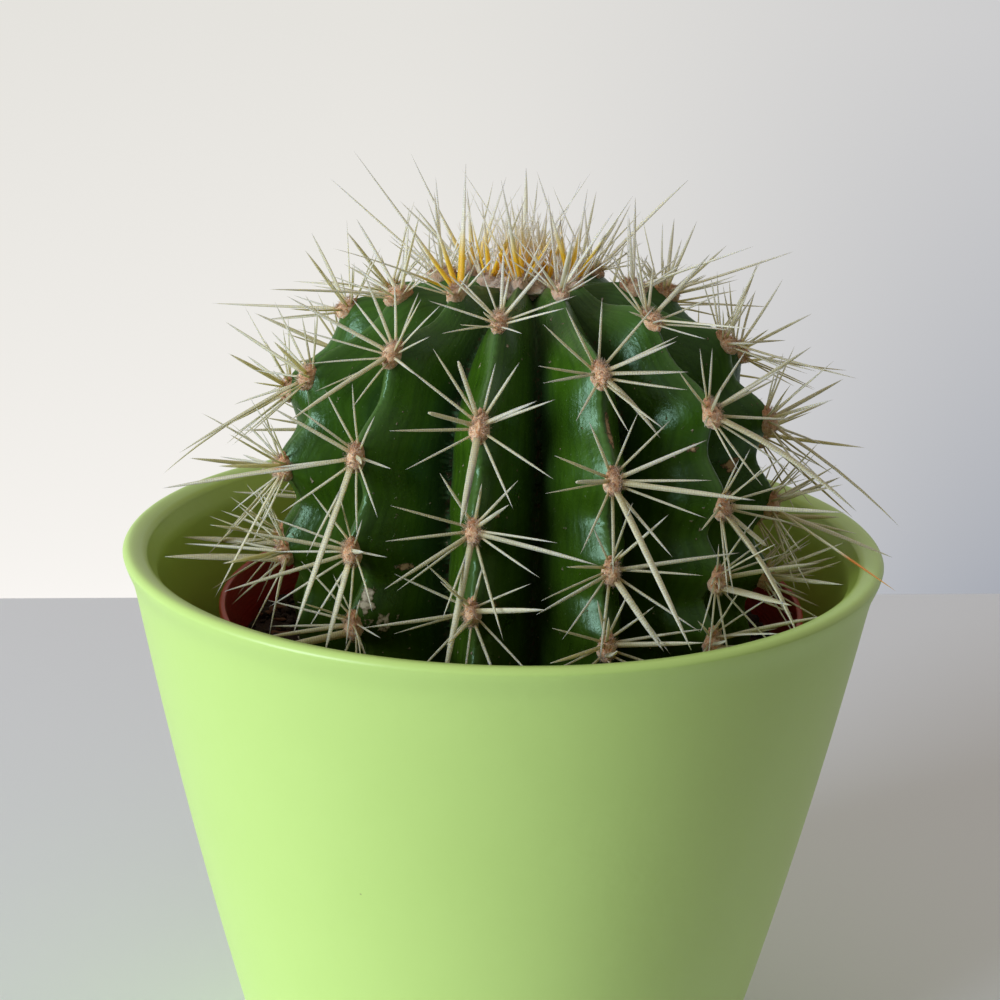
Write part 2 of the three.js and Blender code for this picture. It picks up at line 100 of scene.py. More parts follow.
def new_material(name, inputs):
    """A material, its node tree, and its shader with some inputs set."""
    material = bpy.data.materials.new(name)
    material.use_nodes = True
    shader = material.node_tree.nodes["Principled BSDF"]
    connect(shader, inputs)
    return material, material.node_tree, shader


def add(tree, kind, inputs=(), output=0, **settings):
    """Adds a shader node with its settings and inputs, and gives one of its outputs, or a slice of them."""
    made = tree.nodes.new("ShaderNode" + kind)
    for name, value in settings.items():
        setattr(made, name, value)
    connect(made, dict(inputs))
    return made.outputs[output]


def new_piece(name, bm, material):
    """A shown object from a bmesh, smooth shaded."""
    mesh = bpy.data.meshes.new(name)
    bm.to_mesh(mesh)
    bm.free()
    mesh.shade_smooth()
    mesh.materials.append(material)
    piece = bpy.data.objects.new(name, mesh)
    bpy.context.scene.collection.objects.link(piece)
    return piece


# Pressed laminate: pale grey, matte, with a texture that only softens what it mirrors.
laminate, tree, shader = new_material("pale_grey_laminate", {"Roughness": 0.45, "Base Color": "E9ECF0"})
place = add(tree, "TexCoord", output="Object")
grain = add(tree, "TexNoise", {"Vector": place, "Scale": 1 / LAMINATE_GRAIN, "Detail": 2})
relief = add(tree, "Bump", {"Height": grain, "Strength": 0.1, "Distance": 0.0001})
connect(shader, {"Normal": relief})

bm = bmesh.new()
bmesh.ops.create_cube(bm, size=1)
bmesh.ops.scale(bm, vec=(2 * TABLE_REACH, 2 * TABLE_REACH, TABLE_THICKNESS), verts=bm.verts)
bmesh.ops.translate(bm, vec=(0, 0, -TABLE_THICKNESS / 2), verts=bm.verts)
bmesh.ops.rotate(bm, matrix=Matrix.Rotation(TABLE_TURN, 3, "Z"), verts=bm.verts)
bmesh.ops.bevel(bm, geom=bm.edges[:], offset=TABLE_EDGE, segments=3, profile=0.5, affect="EDGES", material=-1)
table = new_piece("table", bm, laminate)
table.data.shade_flat()

# ---- daylight -----------------------------------------------------------------------------------
# A large window on the left, hardly higher than the plant, throws soft cool light. The pale wall
# behind the plant shows as a backdrop that darkens to the right; the room in front of it is dim.

WINDOW_PLACE = Vector((-1.6, -1.1, 0.58))
WINDOW_SIZE = (0.84, 1.15)
WINDOW_POWER = 45
WINDOW_COLOUR = "E8F2FF"
WINDOW_AIM = Vector((0, 0, 0.12))
WALL_LEFT = ("FAF7F3", "E5E3DE")  # colours low and high
WALL_RIGHT = ("969CA9", "CACACC")
WALL_WIDTH = (-0.12, 0.41)  # sideways slope of the sight lines that see the wall's two ends
WALL_HEIGHT = (-0.33, 0.03)  # and upward slope of those that see its foot and its top
WALL_EASE = 0.65
WALL_LIGHT = 0.85
WALL_BEHIND = (-0.1, 0.4)  # how far back a direction points where the wall's light begins and is full
WALL_TOP = (0.8, 0.4)  # how far up a direction points where it ends and where it is full
ROOM_LIGHT = 0.045
ROOM_COLOUR = "FFF1E4"
CEILING_LIGHT = 0.43
CEILING_HEIGHT = (0.05, 0.85)

window_data = bpy.data.lights.new("window", "AREA")
window_data.shape = "RECTANGLE"
window_data.size, window_data.size_y = WINDOW_SIZE
window_data.energy = WINDOW_POWER
window_data.color = linear(WINDOW_COLOUR)[:3]
window = bpy.data.objects.new("window", window_data)
window.location = WINDOW_PLACE
window.rotation_euler = (WINDOW_AIM - WINDOW_PLACE).to_track_quat("-Z", "Y").to_euler()
window.visible_camera = False
bpy.context.scene.collection.objects.link(window)

room = bpy.data.worlds.new("pale_room")
room.use_nodes = True
bpy.context.scene.world = room
tree = room.node_tree
sight = add(tree, "TexCoord", output="Generated")
across, deep, up = add(tree, "SeparateXYZ", {"Vector": sight}, slice(3))
rightward = add(tree, "MapRange", {"Value": across, "From Min": WALL_WIDTH[0], "From Max": WALL_WIDTH[1]},
                interpolation_type="SMOOTHSTEP")
upward = add(tree, "MapRange", {"Value": up, "From Min": WALL_HEIGHT[0], "From Max": WALL_HEIGHT[1]})
eased = add(tree, "Math", {0: upward, 1: WALL_EASE}, operation="POWER")
left, right = (
    add(tree, "Mix", {0: eased, 6: foot, 7: top}, 2, data_type="RGBA")
    for foot, top in (WALL_LEFT, WALL_RIGHT)
)
wall = add(tree, "Mix", {0: rightward, 6: left, 7: right}, 2, data_type="RGBA")
wall_light = add(tree, "Background", {"Color": wall, "Strength": WALL_LIGHT})
overhead = add(tree, "MapRange", {
    "Value": up, "From Min": CEILING_HEIGHT[0], "From Max": CEILING_HEIGHT[1],
    "To Min": ROOM_LIGHT, "To Max": CEILING_LIGHT,
}, interpolation_type="SMOOTHSTEP")
room_light = add(tree, "Background", {"Color": ROOM_COLOUR, "Strength": overhead})
behind = add(tree, "MapRange", {"Value": deep, "From Min": WALL_BEHIND[0], "From Max": WALL_BEHIND[1]},
             interpolation_type="SMOOTHSTEP")
below_ceiling = add(tree, "MapRange", {"Value": up, "From Min": WALL_TOP[0], "From Max": WALL_TOP[1]})
wall_share = add(tree, "Math", {0: behind, 1: below_ceiling}, operation="MULTIPLY")
lighting = add(tree, "MixShader", {0: wall_share, 1: room_light, 2: wall_light})
backdrop = add(tree, "Background", {"Color": wall})
to_camera = add(tree, "LightPath", output="Is Camera Ray")
seen = add(tree, "MixShader", {0: to_camera, 1: lighting, 2: backdrop})
connect(tree.nodes["World Output"], {"Surface": seen})
bpy.context.scene.view_settings.view_transform = "Standard"

# ---- cover pot ----------------------------------------------------------------------------------
# A conical pot of fired earthenware, cast in a mould and dipped in a lime-green glaze that is satin
# rather than glossy. The wall swells slightly and flares out to a softly crowned lip.

COVER_LIP_CROWN = 0.00095  # how far the lip rises above its widest level
COVER_LIP_FLARE = 0.00095
COVER_FLARE_HEIGHT = 0.0034
COVER_TAPER = 0.1571
COVER_SWELL = 0.404  # per metre
COVER_WALL = 0.0047
COVER_FLOOR = 0.0055
COVER_FILLET = 0.005
COVER_FOOT_ROUND = 0.002
GLAZE_FREE_FOOT = 0.0008  # the kiln shelf leaves this much of the foot bare
# The lip's top, inward from its widest point and up from its widest level: over the crown, and then
# leaning down to the soft inner edge.
LIP_TOP = [
    (0.00018, 0.00034), (0.0005, 0.00068), (0.0009, 0.0009), (0.0014, COVER_LIP_CROWN), (0.002, 0.00085),
    (0.0027, 0.00062), (0.0034, 0.0003), (0.004, -0.00008), (0.0044, -0.00045), (0.0047, -0.0009),
    (0.0048, -0.0015),
]
LIP_INSIDE = 0.003  # under the lip's widest level, where the wall's plain inside begins
WALL_STEPS = 71
LIP_CROWDING = 1.6  # the wall's outside has its steps closer together towards the lip
INSIDE_POINTS = 40
POT_STEPS = 192
GLAZE_DIMPLES = 0.0018  # spacing of the glaze's fine orange peel
GLAZE_CLOUDS = 0.035
GLAZE_SPECKS = 0.011  # spacing of the places where an iron speck may have burnt through

_, cover_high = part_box("cover_pot")
cover_radius = cover_high.x
cover_rim = cover_high.z - COVER_LIP_CROWN


def cover_wall(height):
    """Outside radius of the wall, without the flare of the lip."""
    depth = cover_rim - height
    return cover_radius - COVER_LIP_FLARE - COVER_TAPER * depth - COVER_SWELL * depth * depth


def arc(radius, height, size, start, end, steps):
    """Points of a circle's part, for a profile. Angles in degrees from level outwards."""
    turns = [math.radians(start + (end - start) * i / steps) for i in range(steps + 1)]
    return [(radius + size * math.cos(turn), height + size * math.sin(turn)) for turn in turns]


def spun(profile, steps=POT_STEPS):
    """A bmesh of a profile of (radius, height) points turned once about the Z axis."""
    bm = bmesh.new()
    points = [bm.verts.new((radius, 0, height)) for radius, height in profile]
    lines = [bm.edges.new(pair) for pair in zip(points, points[1:])]
    bmesh.ops.spin(
        bm, geom=points + lines, axis=(0, 0, 1), cent=(0, 0, 0), angle=2 * math.pi, steps=steps,
        use_merge=True,
    )
    bmesh.ops.remove_doubles(bm, verts=bm.verts, dist=1e-6)
    bmesh.ops.recalc_face_normals(bm, faces=bm.faces)
    return bm


def mark(piece, name, values):
    """Gives each point of a piece up to three numbers of its own, which the piece's material reads."""
    vectors = np.zeros((len(values), 3), np.float32)
    vectors[:, :len(values[0])] = values
    layer = piece.data.attributes.new(name, "FLOAT_VECTOR", "POINT")
    layer.data.foreach_set("vector", vectors.ravel())


def marked(tree, name):
    """The three numbers that a piece's points were marked with, for its material."""
    marks = add(tree, "Attribute", output="Vector", attribute_name=name)
    return add(tree, "SeparateXYZ", {"Vector": marks}, slice(3))


outside = []
for i in range(WALL_STEPS + 1):
    depth = (cover_rim - COVER_FOOT_ROUND) * (1 - i / WALL_STEPS) ** LIP_CROWDING
    flare = COVER_LIP_FLARE * math.exp(-((depth / COVER_FLARE_HEIGHT) ** 2))
    outside.append((cover_wall(cover_rim - depth) + flare, cover_rim - depth))
levels = np.linspace(cover_rim - LIP_INSIDE, COVER_FLOOR + COVER_FILLET, INSIDE_POINTS)
inside = [(cover_wall(level) - COVER_WALL, level) for level in levels]
foot_radius = cover_wall(0) - COVER_FOOT_ROUND
fillet_radius = cover_wall(COVER_FLOOR + COVER_FILLET) - COVER_WALL - COVER_FILLET
cover_profile = [(0, 0), (foot_radius / 2, 0)]
cover_profile += arc(foot_radius, COVER_FOOT_ROUND, COVER_FOOT_ROUND, -90, -9, 6)
cover_profile += outside
cover_profile += [(cover_radius - inward, cover_rim + rise) for inward, rise in LIP_TOP]
cover_profile += inside
cover_profile += arc(fillet_radius, COVER_FLOOR + COVER_FILLET, COVER_FILLET, -12, -90, 8)
cover_profile += [(fillet_radius / 2, COVER_FLOOR), (0, COVER_FLOOR)]

# Glazed earthenware: an even, slightly cloudy colour under a satin skin with a faint orange peel, with
# a rare burnt speck and bare buff clay under the foot. The pot's inside has a darker, more saturated
# colour: painted shade of the hollow.
glaze, tree, shader = new_material("lime_satin_glaze", {"IOR": 1.5})
place = add(tree, "TexCoord", output="Object")
height = add(tree, "SeparateXYZ", {"Vector": place}, "Z")
clouds = add(tree, "TexNoise", {"Vector": place, "Scale": 1 / GLAZE_CLOUDS, "Detail": 3})
colour = add(tree, "Mix", {0: clouds, 6: "C0E17C", 7: "C6E683"}, 2, data_type="RGBA")
# painted shade: the pot's inside, a hollow, is marked for a darker, more saturated colour
painted_inside_shade, _, _ = marked(tree, "painted_inside_shade")
reach, cells = add(tree, "TexVoronoi", {"Vector": place, "Scale": 1 / GLAZE_SPECKS}, slice(2))
chance = add(tree, "SeparateColor", {"Color": cells}, "Red")
rare = add(tree, "Math", {0: chance, 1: 0.8}, operation="GREATER_THAN")
dot = add(tree, "MapRange", {"Value": reach, "From Min": 0.035, "From Max": 0.02})
speck = add(tree, "Math", {0: rare, 1: dot}, operation="MULTIPLY")
bare = add(tree, "MapRange", {"Value": height, "From Min": GLAZE_FREE_FOOT, "From Max": GLAZE_FREE_FOOT / 2})
for share, coat in ((painted_inside_shade, "B8D858"), (speck, "4A4A2C"), (bare, "D8C4A2")):
    colour = add(tree, "Mix", {0: share, 6: colour, 7: coat}, 2, data_type="RGBA")
roughness = add(tree, "MapRange", {"Value": bare, "To Min": 0.38, "To Max": 0.9})
waves = add(tree, "Bump", {"Height": clouds, "Strength": 0.25, "Distance": 0.001})
dimples = add(tree, "TexNoise", {"Vector": place, "Scale": 1 / GLAZE_DIMPLES, "Detail": 1})
relief = add(tree, "Bump", {"Height": dimples, "Strength": 0.12, "Distance": 0.0002, "Normal": waves})
connect(shader, {"Base Color": colour, "Roughness": roughness, "Normal": relief})

cover_pot = new_piece("glazed_cover_pot", spun(cover_profile), glaze)
# Marks the points inside the pot's wall for that painted shade.
inside_shade_points = []
for v in cover_pot.data.vertices:
    within_wall = v.co.xy.length < cover_wall(v.co.z) - COVER_WALL / 2
    inside_shade_points.append([within_wall and COVER_FLOOR / 2 < v.co.z < cover_rim])
mark(cover_pot, "painted_inside_shade", inside_shade_points)
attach(cover_pot, "root")
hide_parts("cover_pot")

# ---- nursery pot --------------------------------------------------------------------------------
# The grower's thin pot, injection moulded in red polypropylene with a stiffer collar round its rim
# and drain holes in its floor. It stands on the cover pot's floor, a little to the right of the middle.

NURSERY_WALL = 0.0012
NURSERY_LIP = 0.0013
NURSERY_RIM_EDGE = 0.0005
NURSERY_COLLAR = 0.009  # height of the collar
COLLAR_EDGE = 0.0004
COLLAR_DRAFT = 0.0005  # how much narrower it is at its foot, so that it leaves the mould
COLLAR_STEP = 0.0002
NURSERY_FOOT_RADIUS = 0.0395
NURSERY_FOOT_EDGE = 0.0006
DRAIN_HOLES = 6
DRAIN_HOLE_RADIUS = 0.004
DRAIN_CIRCLE_RADIUS = 0.027
MOULD_LINES = 0.0009  # spacing of the fine turned lines that the mould leaves
DUST_PATCHES = 0.006

nursery_low, nursery_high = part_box("nursery_pot")
nursery_radius = (nursery_high.x - nursery_low.x) / 2
nursery_centre = nursery_high.x - nursery_radius
nursery_foot, nursery_rim = nursery_low.z, nursery_high.z


def nursery_inside(height):
    """Inside radius of the nursery pot."""
    up = (height - nursery_foot) / (nursery_rim - nursery_foot)
    foot_inside = NURSERY_FOOT_RADIUS - NURSERY_WALL
    return foot_inside + (nursery_radius - NURSERY_LIP - foot_inside) * up


collar = nursery_rim - NURSERY_COLLAR
nursery_floor = nursery_foot + NURSERY_WALL
collar_radius = nursery_radius - COLLAR_DRAFT - COLLAR_EDGE
edge_radius = nursery_radius - NURSERY_RIM_EDGE
lip_radius = nursery_radius - NURSERY_LIP + COLLAR_EDGE
nursery_profile = [(0, nursery_foot), (NURSERY_FOOT_RADIUS - NURSERY_FOOT_EDGE, nursery_foot)]
nursery_profile += [(NURSERY_FOOT_RADIUS, nursery_foot + NURSERY_FOOT_EDGE)]
nursery_profile += [(nursery_inside(collar) + NURSERY_WALL, collar - COLLAR_STEP)]
nursery_profile += arc(collar_radius, collar + COLLAR_EDGE, COLLAR_EDGE, -90, 0, 3)
nursery_profile += arc(edge_radius, nursery_rim - NURSERY_RIM_EDGE, NURSERY_RIM_EDGE, 0, 90, 4)
nursery_profile += arc(lip_radius, nursery_rim - COLLAR_EDGE, COLLAR_EDGE, 90, 180, 4)
nursery_profile += [(nursery_inside(collar), collar), (nursery_inside(nursery_floor), nursery_floor)]
nursery_profile += [(0, nursery_floor)]

bm = spun(nursery_profile)
bmesh.ops.translate(bm, vec=(nursery_centre, 0, 0), verts=bm.verts)

# Moulded polypropylene: dull red with a soft sheen, faint turned lines and a film of dried-on dust.
plastic, tree, shader = new_material("red_moulded_polypropylene", {"IOR": 1.49})
place = add(tree, "TexCoord", output="Object")
height = add(tree, "SeparateXYZ", {"Vector": place}, "Z")
dust = add(tree, "TexNoise", {"Vector": place, "Scale": 1 / DUST_PATCHES, "Detail": 5, "Roughness": 0.7})
film = add(tree, "MapRange", {"Value": dust, "From Min": 0.45, "From Max": 0.75, "To Max": 0.3})
colour = add(tree, "Mix", {0: film, 6: "B32C1E", 7: "B8705C"}, 2, data_type="RGBA")
roughness = add(tree, "MapRange", {"Value": film, "To Min": 0.38, "To Max": 0.75})
turns = add(tree, "Math", {0: height, 1: 2 * math.pi / MOULD_LINES}, operation="MULTIPLY")
lines = add(tree, "Math", {0: turns}, operation="SINE")
relief = add(tree, "Bump", {"Height": lines, "Strength": 0.15, "Distance": 0.0001})
connect(shader, {"Base Color": colour, "Roughness": roughness, "Normal": relief})

nursery_pot = new_piece("plastic_nursery_pot", bm, plastic)
bm = bmesh.new()
for i in range(DRAIN_HOLES + 1):
    turn = 2 * math.pi * i / DRAIN_HOLES
    off_centre = 0 if i == DRAIN_HOLES else DRAIN_CIRCLE_RADIUS
    hole_place = (nursery_centre + off_centre * math.cos(turn), off_centre * math.sin(turn), nursery_foot)
    bmesh.ops.create_cone(
        bm, cap_ends=True, segments=24, radius1=DRAIN_HOLE_RADIUS, radius2=DRAIN_HOLE_RADIUS,
        depth=6 * NURSERY_WALL, matrix=Matrix.Translation(hole_place),
    )
drills = new_piece("drills", bm, plastic)
cut = nursery_pot.modifiers.new("drain_holes", "BOOLEAN")
cut.object = drills
cut.solver = "EXACT"
drilled = bpy.data.meshes.new_from_object(nursery_pot.evaluated_get(bpy.context.evaluated_depsgraph_get()))
nursery_pot.modifiers.clear()
nursery_pot.data = drilled
bpy.data.objects.remove(drills)
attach(nursery_pot, "root")
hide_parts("nursery_pot")

# ---- form of the plant --------------------------------------------------------------------------
# Thirteen ribs run from the crown down into the soil. Along each crest the body follows one smooth
# outline, between the ribs it drops into furrows, and under each areole it swells into a tubercle.

BODY_X = 0.0038
RIBS = 13
FRONT_RIB = 3
FRONT_RIB_AZIMUTH = -10.4  # degrees, from -Y towards +X
CREST_RADIUS = 0.0483
CREST_POWER = 2.54  # of the superellipse that the outline is
EQUATOR_ABOVE_RIM = 0.0118  # over the cover pot's widest level
CROWN_HEIGHT = 0.04  # from the equator up to the crown
SKIRT_HEIGHT = 0.092  # the same measure of the nearly straight lower half
BURIED_STEM = 0.008
ROOT_END = 0.016  # height of the rounded end under it
SOIL_BELOW_RIM = 0.01
FURROW_DEPTH = 0.32  # of the radius
CREST_ROUNDING = 0.1  # of half a rib
FLANK_BULGE = 1.2
TUBERCLE_HEIGHT = 0.0017
TUBERCLE_REACH = 0.0055
TUBERCLE_ABOVE = 0.001  # its fullest part is this far above the areole
TUBERCLE_WAIST = 0.35  # the part of that height by which the crest sinks in between
SMOOTH_CROWN = 0.012  # tubercles fade out over this last distance to the crown
CROWN_DIMPLE = 0.0025
CROWN_RADIUS = 0.009
# Distances of the areoles from the crown, along the crests of the ribs at the front, in millimetres.
LISTED_AREOLES = [
    [17, 36.6, 56.6, 73, 87.5],
    [8.5, 26.9, 49.4, 66.5, 83.2],
    [21.5, 40.8, 59.8, 76.7, 90.5],
    [9.8, 30.6, 52.1, 69.4, 83.9],
    [18.1, 42.5, 60.8, 76.2, 90.1],
    [11.5, 31.1, 51.5, 67.9, 81.5, 93.5],
    [20.6, 40.4, 56.9, 73, 87.5],
]
AREOLES_PER_RIB = 5  # on the other ribs, where they follow the plant's own spiral
SPIRAL_STEP = 6 / RIBS
FIRST_AREOLE = 0.0098
AREOLE_SPACING = 0.0218
AREOLE_CROWDING = 0.00084
OUTLINE_STEPS = 2400

soil_level = nursery_rim - SOIL_BELOW_RIM
equator = cover_rim + EQUATOR_ABOVE_RIM


def crest_outline():
    """Radius and height of the crest from the crown down into the soil, and distances along it."""
    power = 2 / CREST_POWER
    lowest_rise = (equator - soil_level + BURIED_STEM) / SKIRT_HEIGHT
    angle = np.linspace(0, math.pi / 2 + math.asin(lowest_rise ** (1 / power)), OUTLINE_STEPS)
    rise = np.abs(np.cos(angle)) ** power
    radius = CREST_RADIUS * np.sin(angle) ** power
    height = equator + np.where(angle < math.pi / 2, CROWN_HEIGHT * rise, -SKIRT_HEIGHT * rise)
    height -= CROWN_DIMPLE * np.exp(-((radius / CROWN_RADIUS) ** 2))
    end = np.linspace(0, math.pi / 2, OUTLINE_STEPS // 8)[1:]
    radius = np.append(radius, radius[-1] * np.cos(end).clip(0) ** power)
    height = np.append(height, height[-1] - ROOT_END * np.sin(end))
    along = np.append(0, np.cumsum(np.hypot(np.diff(radius), np.diff(height))))
    return radius, height, along


crest_radius, crest_height, crest_along = crest_outline()
crest_out = np.gradient(crest_radius, crest_along)
crest_up = np.gradient(crest_height, crest_along)
buried_length = float(crest_along[OUTLINE_STEPS - 1])
root_length = float(crest_along[-1])


def areoles_on(rib):
    """Distances of a rib's areoles from the crown."""
    if rib < len(LISTED_AREOLES):
        return [millimetres / 1000 for millimetres in LISTED_AREOLES[rib]]
    phase = (rib - FRONT_RIB) * SPIRAL_STEP % 1
    steps = [i + phase for i in range(AREOLES_PER_RIB)]
    return [FIRST_AREOLE + AREOLE_SPACING * step - AREOLE_CROWDING * step * step for step in steps]


AREOLES = [areoles_on(rib) for rib in range(RIBS)]


def furrow_drop(radius, across):
    """How far the skin lies under the crest's outline, from 0 at the crest to full at across = 1."""
    low, here, full = ((value * value + CREST_ROUNDING ** 2) ** (FLANK_BULGE / 2) for value in (0, across, 1))
    return FURROW_DEPTH * radius * (here - low) / (full - low)


def tubercle(rib, length, across):
    """Swelling of the rib next to its areoles, for one rib and arrays of places on it."""
    centres = np.array(AREOLES[rib])
    nearest = np.abs(length[..., None] - centres + TUBERCLE_ABOVE).min(-1)
    fullness = np.exp(-((nearest / TUBERCLE_REACH) ** 2)) - TUBERCLE_WAIST
    return TUBERCLE_HEIGHT * fullness * (1 - across ** 1.5) * np.clip(length / SMOOTH_CROWN, 0, 1)


def skin(rib, length, across):
    """Places on one rib's skin: distances from the crown, and -1 to 1 from furrow to furrow.

    Gives the points and the directions off the skin, up the crest and to the right seen from outside.
    """
    length, across = np.broadcast_arrays(np.asarray(length, float), np.asarray(across, float))
    radius, height, outward, upward = (
        np.interp(length, crest_along, values) for values in (crest_radius, crest_height, crest_out, crest_up)
    )
    azimuth = np.radians(FRONT_RIB_AZIMUTH + (rib - FRONT_RIB + across / 2) * 360 / RIBS)
    nothing = np.zeros_like(azimuth)
    radial = np.stack([np.sin(azimuth), -np.cos(azimuth), nothing], -1)
    side = np.stack([np.cos(azimuth), np.sin(azimuth), nothing], -1)
    vertical = np.array([0, 0, 1.0])
    out = radial * -upward[..., None] + vertical * outward[..., None]
    crownward = radial * -outward[..., None] - vertical * upward[..., None]
    part = np.abs(across)
    lift = tubercle(rib, length, part) - furrow_drop(radius, part)
    point = radial * radius[..., None] + vertical * height[..., None] + out * lift[..., None]
    return point + [BODY_X, 0, 0], out, crownward, side


def placed(local, base):
    """Points given as side, crownward and out from a place on the skin, in the object's own frame."""
    point, out, crownward, side = base
    return point + local @ np.stack([side, crownward, out])


def draw(rib, areole, spine, kind):
    """A repeatable draw between -1 and 1 for one spine of one areole."""
    mixed = math.sin(rib * 12.9898 + areole * 78.233 + spine * 37.719 + kind * 4.1414) * 43758.5453
    return 2 * (mixed - math.floor(mixed)) - 1


# ---- potting soil -------------------------------------------------------------------------------
# Dark peat mix with crumbs, a few white grains of perlite and chips of bark, filled to a centimetre
# under the nursery pot's rim. It lies round the foot of the plant, lower where it has shrunk away.

CRUMBS = 1100
PERLITE_SHARE = 0.05
BARK_SHARE = 0.12
CRUMB_SIZES = (0.0005, 0.0016)
CRUMBS_FROM = 0.032  # nearest to the middle of the pot
CRUMBS_OFF_POT = 0.0015
CRUMBS_OFF_STEM = 0.0006
STEM_AT_SOIL = 0.955  # of the crest radius
FURROW_AT_SOIL = 1.3  # how the furrow deepens away from the crest
PEAT_GRAIN = 0.0012
CRUMB_GRAIN = 0.0007
SOIL_WAVES = 0.008
SOIL_RISE = 0.0008
SOIL_UNEVEN = 0.0005  # how far the top rises and falls, in two crossing waves
SOIL_WAVE_TURNS = (310, 270)  # radians per metre
SOIL_CUTS = 4

# Peat: nearly black brown, matte, crumbly at every scale.
peat, tree, shader = new_material("dark_peat", {"Roughness": 0.95})
place = add(tree, "TexCoord", output="Object")
crumbs = add(tree, "TexNoise", {"Vector": place, "Scale": 1 / PEAT_GRAIN, "Detail": 6, "Roughness": 0.75})
colour = add(tree, "Mix", {0: crumbs, 6: "120B07", 7: "4A3322"}, 2, data_type="RGBA")
relief = add(tree, "Bump", {"Height": crumbs, "Strength": 0.9, "Distance": 0.0008})
connect(shader, {"Base Color": colour, "Normal": relief})

bm = bmesh.new()
bm.from_mesh(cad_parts["potting_soil"].data)
bmesh.ops.remove_doubles(bm, verts=bm.verts, dist=1e-5)
top_edges = [e for e in bm.edges if all(v.co.z > soil_level - SOIL_RISE for v in e.verts)]
bmesh.ops.subdivide_edges(bm, edges=top_edges, cuts=SOIL_CUTS, use_grid_fill=True)
bmesh.ops.triangulate(bm, faces=bm.faces)
for v in bm.verts:
    if v.co.z > soil_level - SOIL_RISE:
        v.co.z += SOIL_RISE * noise.fractal(v.co / SOIL_WAVES, 1, 2.2, 4)
soil = new_piece("potting_soil_bed", bm, peat)
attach(soil, "root")
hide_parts("potting_soil")


def template_of(bm):
    """A bmesh as a template mesh, and its points as an array."""
    mesh = bpy.data.meshes.new("template")
    bm.to_mesh(mesh)
    bm.free()
    return mesh, np.array([v.co for v in mesh.vertices])


def copies(name, template, shapes, material, **marks):
    """One piece of many copies of a template mesh, each given as an array of its bent points.

    Each further argument marks the points, with an array for each copy.
    """
    bm = bmesh.new()
    for _ in shapes:
        bm.from_mesh(template)
    piece = new_piece(name, bm, material)
    piece.data.vertices.foreach_set("co", np.concatenate(shapes).astype(np.float32).ravel())
    for mark_name, values in marks.items():
        mark(piece, mark_name, np.concatenate(values))
    piece.data.update()
    return piece


bm = bmesh.new()
bmesh.ops.create_cube(bm, size=1.5)
bmesh.ops.bevel(bm, geom=bm.edges[:], offset=0.4, segments=1, profile=0.5, affect="EDGES", material=-1)
crumb_template, crumb_points = template_of(bm)

# Peat, perlite and bark crumbs share one matte, mottled material, which reads the tint of each.
crumb_finish, tree, shader = new_material("soil_crumbs", {"Roughness": 0.9})
place = add(tree, "TexCoord", output="Object")
own = add(tree, "Attribute", output="Vector", attribute_name="tint")
mottle = add(tree, "TexNoise", {"Vector": place, "Scale": 1 / CRUMB_GRAIN, "Detail": 4})
shade = add(tree, "MapRange", {"Value": mottle, "To Min": 0.5, "To Max": 1.5})
colour = add(tree, "Mix", {0: 1.0, 6: own, 7: shade}, 2, data_type="RGBA", blend_type="MULTIPLY")
relief = add(tree, "Bump", {"Height": mottle, "Strength": 0.7, "Distance": 0.0004})
connect(shader, {"Base Color": colour, "Normal": relief})

chance = random.Random(7)
shapes, tints = [], []
crumbs_to = nursery_inside(soil_level) - CRUMBS_OFF_POT
while len(shapes) < CRUMBS:
    turn = chance.uniform(0, 2 * math.pi)
    reach = CRUMBS_FROM + (crumbs_to - CRUMBS_FROM) * math.sqrt(chance.random())
    x, y = nursery_centre + reach * math.cos(turn), reach * math.sin(turn)
    from_rib = (math.degrees(math.atan2(x - BODY_X, -y)) - FRONT_RIB_AZIMUTH) * RIBS / 360
    from_crest = abs((from_rib + 0.5) % 1 * 2 - 1)
    stem = CREST_RADIUS * STEM_AT_SOIL * (1 - FURROW_DEPTH * from_crest ** FURROW_AT_SOIL)
    if math.hypot(x - BODY_X, y) < stem + CRUMBS_OFF_STEM:
        continue
    kind = chance.random()
    size = chance.uniform(*CRUMB_SIZES)
    shape = Vector((chance.uniform(0.7, 1.4), chance.uniform(0.6, 1), chance.uniform(0.4, 0.8)))
    tint = linear("2E1D12")[:3]
    if kind < PERLITE_SHARE:
        tint = linear("CFC8BA")[:3]
    elif kind < PERLITE_SHARE + BARK_SHARE:
        tint, shape = linear("6B4429")[:3], Vector((chance.uniform(1.5, 2.6), 0.9, 0.35))
    lean = Matrix.Rotation(chance.uniform(0, 6.3), 3, "Z")
    lean @= Matrix.Rotation(chance.uniform(-0.5, 0.5), 3, "X")
    seed = Vector((x, y, len(shapes))) * 37
    bumps = np.array([1 + 0.35 * noise.noise(seed + Vector(p) * 1.3) for p in crumb_points])
    points = crumb_points * bumps[:, None] * np.array(shape) * size
    waves = math.sin(SOIL_WAVE_TURNS[0] * (x - nursery_centre) + 1) * math.cos(SOIL_WAVE_TURNS[1] * y)
    ground = soil_level + SOIL_UNEVEN * waves
    shapes.append(points @ np.array(lean).T + [x, y, ground + size * 0.25])
    tints.append(np.tile(tint, (len(points), 1)))
crumb_piece = copies("soil_crumbs", crumb_template, shapes, crumb_finish, tint=tints)
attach(crumb_piece, "root")
